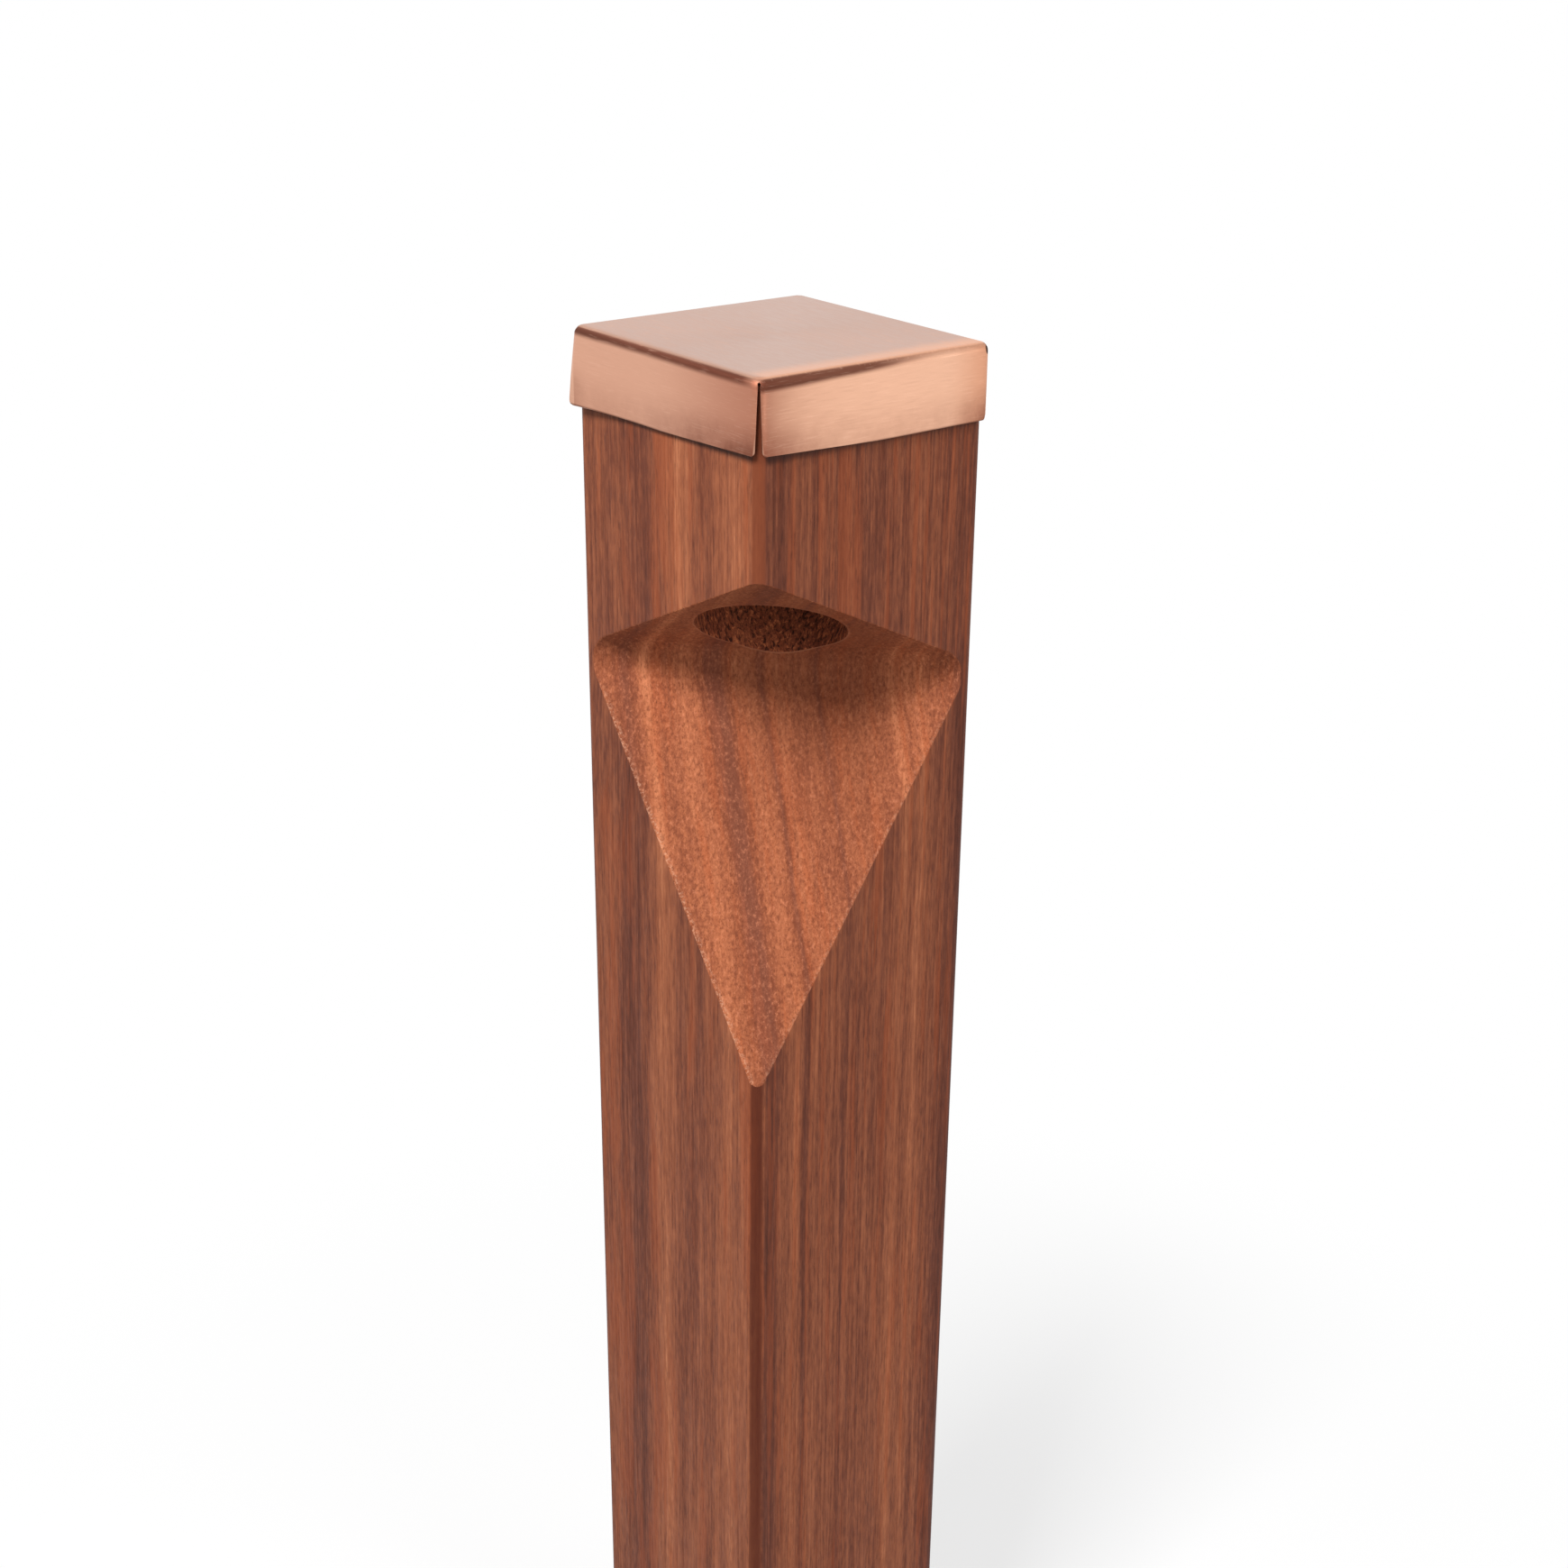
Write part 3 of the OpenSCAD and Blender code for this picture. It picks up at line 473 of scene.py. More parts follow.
    # Painted shadow: a dark spot at the far right corner's relief, where the open fold shows shade
    painted_notch_shadow = f.remap(f.vector("DISTANCE", f.place, (0.0458, 0.0449, 0.5980)), 0.0020, 0.0014)
    colour = f.mix(painted_notch_shadow * 0.92, colour, paint(34, 15, 11))
    fine = f.remap(grain, 0.54, 0.72) * 0.14
    colour = f.mix(fine, colour, paint(250, 208, 182))
    worn = f.remap(grain, 0.46, 0.30) * 0.07
    colour = f.mix(worn, colour, paint(150, 96, 74))
    f.set("Base Color", colour)
    rough = f.remap(grain, 0.3, 0.7, 0.30, 0.40)
    tip = f.remap(f.vector("DISTANCE", f.place, (0.0450, -0.0450, 0.5990)), 0.0045, 0.0020)
    matt = f.math("MAXIMUM", band, tip) * 0.32 + dull * 0.15
    f.set("Roughness", rough + (matt + painted_notch_shadow * 0.2))
    f.bump(grain, 0.10, 0.05)
    return f.material


def galvanised():
    """Hot-dip zinc: crystal spangle, dull patches."""
    f = Finish("zinc_coat", Metallic=0.85)
    crystals = f.add("ShaderNodeTexVoronoi", {"Vector": f.place, "Scale": 130.0})
    spangle = f.split(crystals.outputs["Color"])[0]
    fine = f.noise(f.place, 700.0, 2.0, 0.6)
    value = spangle * 0.55 + fine * 0.45
    zinc = ((0.15, paint(150, 153, 156)), (0.55, paint(176, 179, 182)), (0.9, paint(203, 206, 208)))
    f.set("Base Color", f.ramp(value, *zinc))
    f.set("Roughness", f.remap(value, 0.2, 0.8, 0.55, 0.34))
    f.bump(f.noise(f.place, 220.0, 3.0, 0.55), 0.18, 0.2)
    return f.material


def rubber(name, colour, scale=1400.0, rough=0.78):
    """Moulded rubber: a faint pebble and dusty high spots."""
    f = Finish(name, Specular_IOR_Level=0.35)
    grit = f.noise(f.place, scale, 3.0, 0.6)
    pale = tuple(min(1.0, c * 2.1 + 0.006) for c in colour[:3]) + (1.0,)
    f.set("Base Color", f.mix(f.remap(grit, 0.50, 0.75), colour, pale))
    f.set("Roughness", f.remap(grit, 0.3, 0.7, rough - 0.1, rough + 0.08))
    f.bump(grit, 0.25, 0.08)
    return f.material


def foam():
    """Closed-cell foam strip: small open bubbles on its cut faces."""
    f = Finish("seal_foam", Roughness=0.92, Specular_IOR_Level=0.2)
    bubble = f.cells(f.place, 1500.0)
    grey = ((0.0, paint(28, 28, 29)), (0.45, paint(56, 56, 58)), (0.9, paint(82, 82, 84)))
    f.set("Base Color", f.ramp(bubble, *grey))
    f.bump(bubble, 0.6, 0.25)
    return f.material


def turned_metal(name, dark, light, rough=0.30):
    """Lathe-turned metal: fine rings about the lamp's axis."""
    f = Finish(name, Metallic=1.0, Anisotropic=0.3)
    radius, up = about_bore(f)
    rings = f.noise(f.join(radius, up, 0.0), 3200.0, 2.0, 0.6)
    haze = f.noise(f.place, 160.0, 2.0)
    value = rings * 0.7 + haze * 0.3
    f.set("Base Color", f.ramp(value, (0.3, dark), (0.7, light)))
    f.set("Roughness", f.remap(rings, 0.3, 0.7, rough + 0.1, rough - 0.05))
    f.bump(rings, 0.22, 0.05)
    return f.material


def plated_metal(name, dark, light, rough=0.28):
    """Small machined fittings: brushed, with a little handling dullness."""
    f = Finish(name, Metallic=1.0)
    brushed = f.noise(f.vector("MULTIPLY", f.place, (1.0, 1.0, 0.15)), 900.0, 3.0, 0.6)
    dull = f.noise(f.place, 240.0, 2.0)
    f.set("Base Color", f.ramp(brushed * 0.6 + dull * 0.4, (0.3, dark), (0.7, light)))
    f.set("Roughness", f.remap(brushed, 0.3, 0.7, rough + 0.14, rough - 0.04))
    f.bump(brushed, 0.15, 0.05)
    return f.material


def clear_glass(name, tint, rough=0.015):
    """Polished glass with a trace of dust and wipe marks."""
    f = Finish(name, Transmission_Weight=1.0, IOR=1.5)
    film = f.noise(f.place, 180.0, 3.0, 0.6)
    dusty = tuple(c * 0.94 for c in tint[:3]) + (1.0,)
    f.set("Base Color", f.mix(f.remap(film, 0.55, 0.8), tint, dusty))
    f.set("Roughness", f.remap(film, 0.45, 0.8, rough, rough + 0.05))
    return f.material


def reflector_coat():
    """Coated glass bowl: bright, with a cool and a violet cast from the thin film."""
    f = Finish("reflector_coat", Metallic=1.0)
    film = f.noise(f.place, 95.0, 2.0, 0.5)
    cast = ((0.32, paint(206, 214, 232)), (0.5, paint(228, 230, 236)), (0.68, paint(222, 208, 230)))
    f.set("Base Color", f.ramp(film, *cast))
    f.set("Roughness", f.remap(film, 0.3, 0.7, 0.10, 0.18))
    f.bump(f.noise(f.place, 900.0, 2.0), 0.12, 0.05)
    return f.material


def ceramic(name, pale, deep):
    """Unglazed pressed ceramic: chalky, with specks."""
    f = Finish(name, Roughness=0.72, Specular_IOR_Level=0.4)
    chalk = f.noise(f.place, 420.0, 3.0, 0.6)
    speck = f.remap(f.noise(f.place, 2600.0, 1.0), 0.66, 0.74)
    colour = f.ramp(chalk, (0.3, deep), (0.7, pale))
    f.set("Base Color", f.mix(speck * 0.5, colour, paint(120, 108, 92)))
    f.bump(f.noise(f.place, 1800.0, 2.0), 0.25, 0.08)
    return f.material


def moulded_plastic(name, pale, deep, rough=0.42, light_through=0.0):
    """Moulded plastic or cable sheath: even colour, slight orange peel."""
    f = Finish(name, Subsurface_Weight=light_through, Subsurface_Scale=0.002)
    peel = f.noise(f.place, 900.0, 2.0, 0.5)
    cast = f.noise(f.place, 120.0, 2.0)
    f.set("Base Color", f.ramp(cast, (0.35, deep), (0.65, pale)))
    f.set("Roughness", f.remap(peel, 0.3, 0.7, rough + 0.08, rough - 0.06))
    f.bump(peel, 0.12, 0.08)
    return f.material


def coil_wire():
    """Tungsten coil, cold."""
    f = Finish("tungsten_coil", Metallic=1.0)
    drawn = f.noise(f.place, 3000.0, 2.0)
    f.set("Base Color", f.ramp(drawn, (0.3, paint(96, 94, 92)), (0.7, paint(150, 147, 143))))
    f.set("Roughness", f.remap(drawn, 0.3, 0.7, 0.45, 0.35))
    return f.material


PLANED = planed_hardwood()
CUT = cut_hardwood()
BORED = bored_hardwood()
END_GRAIN = end_grain_hardwood()
COPPER = satin_copper()
ZINC = galvanised()
FOAM = foam()
PAD = rubber("pad_rubber", paint(46, 46, 47), 900.0)
GROMMET = rubber("grommet_rubber", paint(58, 58, 59))
BLACK_RUBBER = rubber("o_ring_rubber", paint(36, 36, 37), 2200.0, 0.55)
SILICONE = rubber("gasket_silicone", paint(206, 204, 198), 1800.0, 0.5)
CAN_METAL = turned_metal("dark_anodised_aluminium", paint(92, 93, 96), paint(122, 123, 127), 0.36)
RING_METAL = turned_metal("turned_aluminium", paint(190, 192, 195), paint(222, 224, 226), 0.26)
STAINLESS = plated_metal("stainless_steel", paint(178, 178, 176), paint(214, 214, 211))
PIN_METAL = plated_metal("pin_nickel", paint(196, 192, 184), paint(222, 219, 210), 0.2)
BRASS = plated_metal("terminal_brass", paint(196, 160, 88), paint(226, 194, 122), 0.24)
WINDOW = clear_glass("window_glass", (0.94, 0.975, 0.965, 1.0))
LAMP_GLASS = clear_glass("lamp_glass", (0.97, 0.975, 0.98, 1.0))
QUARTZ = clear_glass("capsule_quartz", (0.985, 0.98, 0.97, 1.0), 0.01)
COATED = reflector_coat()
LAMP_CERAMIC = ceramic("lamp_ceramic", paint(232, 226, 208), paint(216, 208, 188))
HOLDER_CERAMIC = ceramic("holder_steatite", paint(236, 231, 216), paint(222, 215, 196))
CORE = moulded_plastic("core_insulation", paint(120, 66, 38), paint(98, 52, 30))
SHEATH = moulded_plastic("lead_sheath", paint(44, 44, 46), paint(32, 32, 34), 0.5)
NYLON = moulded_plastic("block_nylon", paint(232, 230, 220), paint(220, 217, 205), 0.38, 0.3)
TUNGSTEN = coil_wire()


# Shapes

def scratch(mesh, name="scratch"):
    """Working object on a mesh."""
    obj = bpy.data.objects.new(name, mesh)
    bpy.context.scene.collection.objects.link(obj)
    return obj


def piece(name, mesh, body, material, stands_for=(), smooth=40.0):
    """Makes a mesh a finished piece of the object, at the origin and on its body.

    A mesh that brings its own materials or its own shading is given None or 0 for them."""
    obj = scratch(mesh, name)
    if material is not None:
        mesh.materials.clear()
        mesh.materials.append(material)
    if smooth:
        mesh.shade_smooth()
        mesh.set_sharp_from_angle(angle=math.radians(smooth))
    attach(obj, body)
    if stands_for:
        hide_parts(*stands_for)


def settled(obj):
    """Mesh of an object with its modifiers applied; the object goes."""
    graph = bpy.context.evaluated_depsgraph_get()
    mesh = bpy.data.meshes.new_from_object(obj.evaluated_get(graph), depsgraph=graph)
    old = obj.data
    bpy.data.objects.remove(obj)
    bpy.data.meshes.remove(old)
    return mesh


def ease_edges(obj, width, segments=2, angle=30.0, clamp=True):
    """Bevel on the edges sharper than the angle, as wide as given in millimetres."""
    bevel = obj.modifiers.new("eased edges", "BEVEL")
    bevel.width = width * MM
    bevel.segments = segments
    bevel.limit_method = "ANGLE"
    bevel.angle_limit = math.radians(angle)
    bevel.use_clamp_overlap = clamp
    bevel.harden_normals = False
    bevel.miter_outer = "MITER_ARC"


def cad_copy(node):
    """Merged copy of a CAD node's mesh, with flat faces rejoined."""
    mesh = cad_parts[node].data.copy()
    work = bmesh.new()
    work.from_mesh(mesh)
    bmesh.ops.remove_doubles(work, verts=work.verts, dist=2e-6)
    bmesh.ops.dissolve_limit(work, angle_limit=math.radians(0.4), verts=work.verts, edges=work.edges)
    work.to_mesh(mesh)
    work.free()
    return mesh


def eased_copy(node, body, material, width):
    """Piece in the shape of its node, with eased edges."""
    obj = scratch(cad_copy(node))
    ease_edges(obj, width, 3)
    piece(node + "_shape", settled(obj), body, material, (node,))


def band(work, low_ring, high_ring):
    """Faces between two rings of points."""
    sides = len(low_ring)
    for k in range(sides):
        n = (k + 1) % sides
        work.faces.new((low_ring[k], low_ring[n], high_ring[n], high_ring[k]))


def built(work, name):
    """Mesh from the work, with its faces turned outward."""
    bmesh.ops.recalc_face_normals(work, faces=work.faces)
    mesh = bpy.data.meshes.new(name)
    work.to_mesh(mesh)
    work.free()
    return mesh


def prism(outline, low, high, matrix=UPRIGHT):
    """Upright solid with the given outline, in millimetres."""
    work = bmesh.new()
    base = [work.verts.new((x * MM, y * MM, low * MM)) for x, y in outline]
    top = [work.verts.new((x * MM, y * MM, high * MM)) for x, y in outline]
    work.faces.new(base[::-1])
    work.faces.new(top)
    band(work, base, top)
    mesh = built(work, "prism")
    mesh.transform(matrix)
    return scratch(mesh)


def disc(radius, sides, centre=(0, 0)):
    """Round outline."""
    turns = [2 * math.pi * i / sides for i in range(sides)]
    return [(centre[0] + radius * math.cos(turn), centre[1] + radius * math.sin(turn)) for turn in turns]


def rounded_square(width, radius):
    """Square outline with rounded corners."""
    steps = 8
    inset = width / 2 - radius
    points = []
    for corner, (sx, sy) in enumerate(((1, 1), (-1, 1), (-1, -1), (1, -1))):
        for i in range(steps + 1):
            turn = math.pi / 2 * (corner + i / steps)
            points.append((sx * inset + radius * math.cos(turn), sy * inset + radius * math.sin(turn)))
    return points


def weigh_edges(mesh, angle, rule):
    """Bevel weight of each edge sharper than the angle, from the rule."""
    work = bmesh.new()
    work.from_mesh(mesh)
    layer = work.edges.layers.float.new("bevel_weight_edge")
    for edge in work.edges:
        if len(edge.link_faces) == 2 and edge.calc_face_angle() > math.radians(angle):
            edge[layer] = rule(edge)
    work.to_mesh(mesh)
    work.free()


def carve(obj, *cutters):
    """Cuts each cutter out of obj, in turn."""
    for cutter in cutters:
        step = obj.modifiers.new("cut", "BOOLEAN")
        step.operation = "DIFFERENCE"
        step.solver = "EXACT"
        step.object = cutter
    mesh = settled(obj)
    for cutter in cutters:
        old = cutter.data
        bpy.data.objects.remove(cutter)
        bpy.data.meshes.remove(old)
    return scratch(mesh)


def niche_section():
    """Niche outline: inward from the arris and up from the niche's top corner."""
    steps, past = 28, 20.0
    apex = Vector((NICHE_IN, -NICHE_IN * math.tan(CEILING)))
    middle = (CEILING + FLOOR) / 2
    tilt = (CEILING - FLOOR) / 2
    centre = apex + NICHE_EASED_R / math.sin(middle) * Vector((-math.cos(tilt), math.sin(tilt)))
    points = [(-past, past * math.tan(CEILING))]
    for i in range(steps + 1):
        share = i / steps
        turn = (math.pi / 2 - CEILING) * (1 - share) - (math.pi / 2 - FLOOR) * share
        inward = centre.x + NICHE_EASED_R * math.cos(turn)
        points.append((inward, centre.y + NICHE_EASED_R * math.sin(turn)))
    points.append((-past, -NICHE_H - past * math.tan(FLOOR)))
    return points


def base_screw_places():
    """Places of the four screws under the post."""
    return [(sx * BASE_SCREW_AT[0], sy * BASE_SCREW_AT[1]) for sx in (-1, 1) for sy in (-1, 1)]


def along_bore(place):
    """Distance from the lamp bore's axis and height up along it, in millimetres."""
    offset = place - MOUTH * MM
    up = offset.dot(BORE_Z)
    return (offset - BORE_Z * up).length / MM, up / MM


def kept_sharp(edge):
    """Whether an edge is on the rim of the bore's mouth, or at the niche's top corner."""
    places = [along_bore(vert.co) for vert in edge.verts]
    on_rim = all(abs(radius - BORE_D / 2) < 0.05 and up < 10.0 for radius, up in places)
    top = Vector((HALF, -HALF, NICHE_TOP)) * MM
    return on_rim or all((vert.co - top).length < 5.0 * MM for vert in edge.verts)


def make_post():
    """Planed post with its niche, lamp bore, wiring pocket and screw holes."""
    # The arrises are rounded by hand, as deep at the corner as the chamfer
    arris_r = ARRIS / SQ2 / (SQ2 - 1)
    post = prism(rounded_square(POST_W, arris_r), POST_FOOT, POST_TOP)
    inward = Vector((-1 / SQ2, 1 / SQ2, 0))
    sideways = Vector((1 / SQ2, 1 / SQ2, 0))
    place = frame_matrix(inward, Vector((0, 0, 1)), sideways, (HALF, -HALF, NICHE_TOP))
    niche = prism(niche_section(), -POST_W, POST_W, place)
    bore = prism(disc(BORE_D / 2, 96), -NICHE_R, BORE_DEPTH, ON_BORE)
    pocket = prism(disc(POCKET_D / 2, 72, (-POCKET_BACK, POCKET_BACK)), POCKET_FLOOR, OVERALL + PASS)
    wire = prism(disc(WIRE_D / 2, 48, WIRE_AT), 0, POCKET_FLOOR + PASS)
    holes = [prism(disc(BASE_SCREW_HOLE / 2, 24, at), 0, BASE_SCREW_DEPTH) for at in base_screw_places()]
    post = carve(post, niche, bore, pocket, wire, *holes)

    weigh_edges(post.data, 20.0, lambda edge: 0.0 if kept_sharp(edge) else 1.0)
    ease_edges(post, POST_EASE, 3, clamp=False)
    post.modifiers[0].limit_method = "WEIGHT"
    mesh = settled(post)
    mesh.materials.clear()
    woods = [PLANED, CUT, BORED, END_GRAIN]
    for material in woods:
        mesh.materials.append(material)
    for face in mesh.polygons:
        normal, centre = face.normal, face.center
        radius, up = along_bore(centre)
        reach = max(abs(centre.x), abs(centre.y))
        upright = abs(normal.z) < 0.1
        on_arris = reach > (HALF - 0.6 * arris_r) * MM and upright
        # Bored walls are upright, away from the outside, and don't face the niche
        drilled = upright and reach < (HALF - 1.5) * MM and normal.dot(inward) > -0.98
        if abs(normal.z) > 0.95:
            face.material_index = woods.index(END_GRAIN)
        elif (radius < BORE_D / 2 + 0.05 and up > 0.3) or (drilled and not on_arris):
            face.material_index = woods.index(BORED)
        elif max(abs(normal.x), abs(normal.y)) < 0.97 and not on_arris:
            face.material_index = woods.index(CUT)
    mesh.shade_smooth()
    mesh.set_sharp_from_angle(angle=math.radians(24.0))
    shaded = scratch(mesh)
    shaded.modifiers.new("even shading", "WEIGHTED_NORMAL").keep_sharp = True
    piece("post", settled(shaded), "post", None, ("timber_post",), 0.0)


def skirt_end(drop, corner):
    """How far a fold or skirt stops short of its corner, at a depth below the cap's top."""
    head, relief = RELIEFS[corner]
    if drop <= head:
        return 0.0
    slit = 0.0
    if drop > head + relief:
        slit = SLIT_TOP + (SLIT_FOOT - SLIT_TOP) * (drop - head) / (SKIRT - head)
    chord = math.sqrt(max(0.0, relief ** 2 - (drop - head - relief) ** 2))
    gap = SQ2 * max(chord, slit / 2)
    low = SKIRT_CORNER - (SKIRT - drop)
    if low > 0:
        gap += SKIRT_CORNER - math.sqrt(max(0.0, SKIRT_CORNER ** 2 - low ** 2))
    return gap


def fold_rows():
    """Rows of the cap's side, from the fold's start down to the skirt's foot: out and down."""
    start = CAP_HALF - FOLD_R
    rows = []
    for i in range(15):
        turn = math.radians(90 * i / 14)
        rows.append((start + FOLD_R * math.sin(turn), FOLD_R * (1 - math.cos(turn))))
    drops = [2.9, 3.2, 3.6, 4.2, 5.2]
    drops += [5.2 + (SKIRT - 2.4 - 5.2) * (i + 1) / 11 for i in range(11)]
    drops += [SKIRT - SKIRT_CORNER * s for s in (1.0, 0.72, 0.47, 0.27, 0.13, 0.045, 0.0)]
    return rows + [(CAP_HALF, drop) for drop in drops]


def cap_columns():
    """Columns across a skirt, from -1 to 1, closer together toward both ends."""
    ends = [0, 0.35, 0.7, 1.05, 1.5, 2.2, 3.2, 4.6, 6.4]
    right = [1 - e / CAP_HALF for e in ends]
    inner = [-right[-1] + 2 * right[-1] * (i + 1) / 33 for i in range(32)]
    return [-r for r in right] + inner + right[::-1]


# Relief holes from the near corner round: how far below the top they start, and their radius
RELIEFS = ((0.95, 0.55), (0.60, 0.45), (0.50, 0.90), (0.45, 0.80))
# How much each skirt is cut shorter at the near corner
TAPER = (1.5, 0.0, 0.0, 1.5)


# How far each skirt leans out at its foot, and how much more its far end does
LEAN = (0.20, 0.15, 0.25, 0.30)
FAR_END = (0.0, 0.2, 0.5, 2.3)


def splay(side, share, depth):
    """How far a skirt stands off, in millimetres: side 0 is +X, then turning toward +Y."""
    lean = LEAN[side] * depth
    lean += FAR_END[side] * depth * max(0.0, (-share - 0.25) / 0.75) ** 1.6
    wave = noise.noise(Vector((share * 2.1 + side * 7.3, depth * 1.2, 4.0)))
    return lean + 0.16 * depth * wave


def make_cap():
    """Folded copper tray: four skirts, open slits at the corners, slightly sprung by hand."""
    work = bmesh.new()
    columns = cap_columns()
    rows = fold_rows()
    top_half = rows[0][0]
    for i in range(len(columns) - 1):
        for j in range(len(columns) - 1):
            corners = [(columns[a] * top_half, columns[b] * top_half)
                       for a, b in ((i, j), (i + 1, j), (i + 1, j + 1), (i, j + 1))]
            work.faces.new([work.verts.new((x, y, 0)) for x, y in corners])
    for side in range(4):
        turn = Matrix.Rotation(math.pi / 2 * side, 3, "Z")
        grid = []
        for out, drop in rows:
            depth = max(0.0, (drop - FOLD_R) / (SKIRT - FOLD_R))
            start = skirt_end(drop, side) - out
            stop = out - skirt_end(drop, (side + 1) % 4)
            line = []
            for share in columns:
                across = start + (stop - start) * (share + 1) / 2
                stand = splay(side, share, depth) if depth > 0 else 0.0
                trim = depth * TAPER[side] * max(0.0, -share if side == 0 else share)
                line.append(work.verts.new(turn @ Vector((out + stand, across, trim - drop))))
            grid.append(line)
        for a, b in zip(grid, grid[1:]):
            for k in range(len(columns) - 1):
                work.faces.new((a[k], b[k], b[k + 1], a[k + 1]))
    bmesh.ops.remove_doubles(work, verts=work.verts, dist=1e-4)
    # The top's corners are drawn round where two folds meet
    inner = CAP_HALF - FOLD_R - 0.6
    for vert in work.verts:
        x, y, _ = vert.co
        if abs(x) > inner and abs(y) > inner:
            q = Vector((abs(x) - inner, abs(y) - inner))
            scale = max(q) / q.length
            vert.co.x = math.copysign(inner + q.x * scale, x)
            vert.co.y = math.copysign(inner + q.y * scale, y)
            vert.co.z -= 0.08 * min(q)
        # The sheet lies a little hollow between its folds
        hollow = max(0.0, 1 - (x / top_half) ** 2) * max(0.0, 1 - (y / top_half) ** 2)
        ripple = noise.noise(Vector((x / 34, y / 34, 2.0)))
        vert.co.z -= hollow * (0.14 + 0.10 * ripple)
    for vert in work.verts:
        vert.co *= MM
        vert.co.z += OVERALL * MM
    cap = scratch(built(work, "cap"))
    wall = cap.modifiers.new("sheet", "SOLIDIFY")
    wall.thickness = SHEET * MM
    wall.offset = -1.0
    wall.use_even_offset = True
    ease_edges(cap, CAP_EASE, 2, 50.0, clamp=False)
    piece("cap", settled(cap), "cap", COPPER, ("copper_cap",), 45.0)


make_post()
make_cap()

# Sizes of the fittings, in millimetres, from the lamp bore's mouth or the pocket's floor
RING_FRONT, RING_BACK = 17.8, 31.0
RING_R, APERTURE_R, RING_INNER_R = 23.6, 19.0, 22.3
RING_LIP = 1.5
GRIP_GROOVES, GRIP_DEEP = (3.2, 4.8, 6.4), 0.35
RING_THREAD_TURNS, RING_THREAD_PITCH, RING_THREAD_DEEP = 9, 0.75, 0.22
SPANNER_R, SPANNER_AT = 1.2, 21.2
CAN_FRONT, CAN_FLOOR, CAN_BACK = 23.5, 64.0, 66.5
O_RING_AT, O_RING_R, O_RING_MIDDLE = (12.0, 33.0), 1.3, 22.4
LAMP_FRONT, BOWL_BACK = 23.9, 45.2
BOWL_RIM_R, BOWL_WALL, BOWL_RIM_L, NECK_R = 17.65, 1.0, 2.4, 5.0
CAPSULE_R, CAPSULE_L = 4.0, 12.0
COIL_R, COIL_WIRE_R, LEG_WIRE_R = 0.34, 0.09, 0.17
HOLDER_W, CONTACT_R = 10.0, 1.25
PIN_PITCH = 4.0
SCREW_SEAT, HOLDER_SCREW_Y = 57.2, 7.2
POLE_PITCH, TUBE_LEVEL, TERMINAL_PITCH = 8.0, 5.2, 7.0
BLOCK_SHIFT, BLOCK_H, BLOCK_L = 5.0, 11.0, 14.0
LEAD_R, CORE_R = 2.3, 0.8
BUSH_AT = (10.0, 9.0)

# The pocket: local Y runs toward the post's back, from the middle of its floor
POCKET_X = Vector((1 / SQ2, 1 / SQ2, 0))
POCKET_Y = Vector((-1 / SQ2, 1 / SQ2, 0))
POCKET_MIDDLE = Vector((-POCKET_BACK, POCKET_BACK, POCKET_FLOOR))
IN_POCKET = frame_matrix(POCKET_X, POCKET_Y, Vector((0, 0, 1)), POCKET_MIDDLE)


class Tree(Nodes):
    """Geometry tree with named inputs."""

    def __init__(self, name, inputs):
        super().__init__(bpy.data.node_groups.new(name, "GeometryNodeTree"))
        face = self.tree.interface
        face.new_socket("Geometry", in_out="OUTPUT", socket_type="NodeSocketGeometry")
        self.sockets = {}
        for label, kind in inputs.items():
            self.sockets[label] = face.new_socket(label, in_out="INPUT", socket_type="NodeSocket" + kind)
        outputs = self.tree.nodes.new("NodeGroupInput").outputs
        self.given = {label: Output(self, outputs[label]) for label in inputs}

    def rise(self, value, low, high):
        """0 below low, 1 above high."""
        return self.remap(value, low, high, kind="LINEAR")


SCREW_LENGTHS = (
    "Head Radius", "Head Height", "Shank Radius", "Length", "Pitch", "Thread Depth", "Point",
    "Recess Radius", "Recess Depth",
)
SCREW_CHOICES = ("Sunk Head", "Recess Arms", "Turned Down")


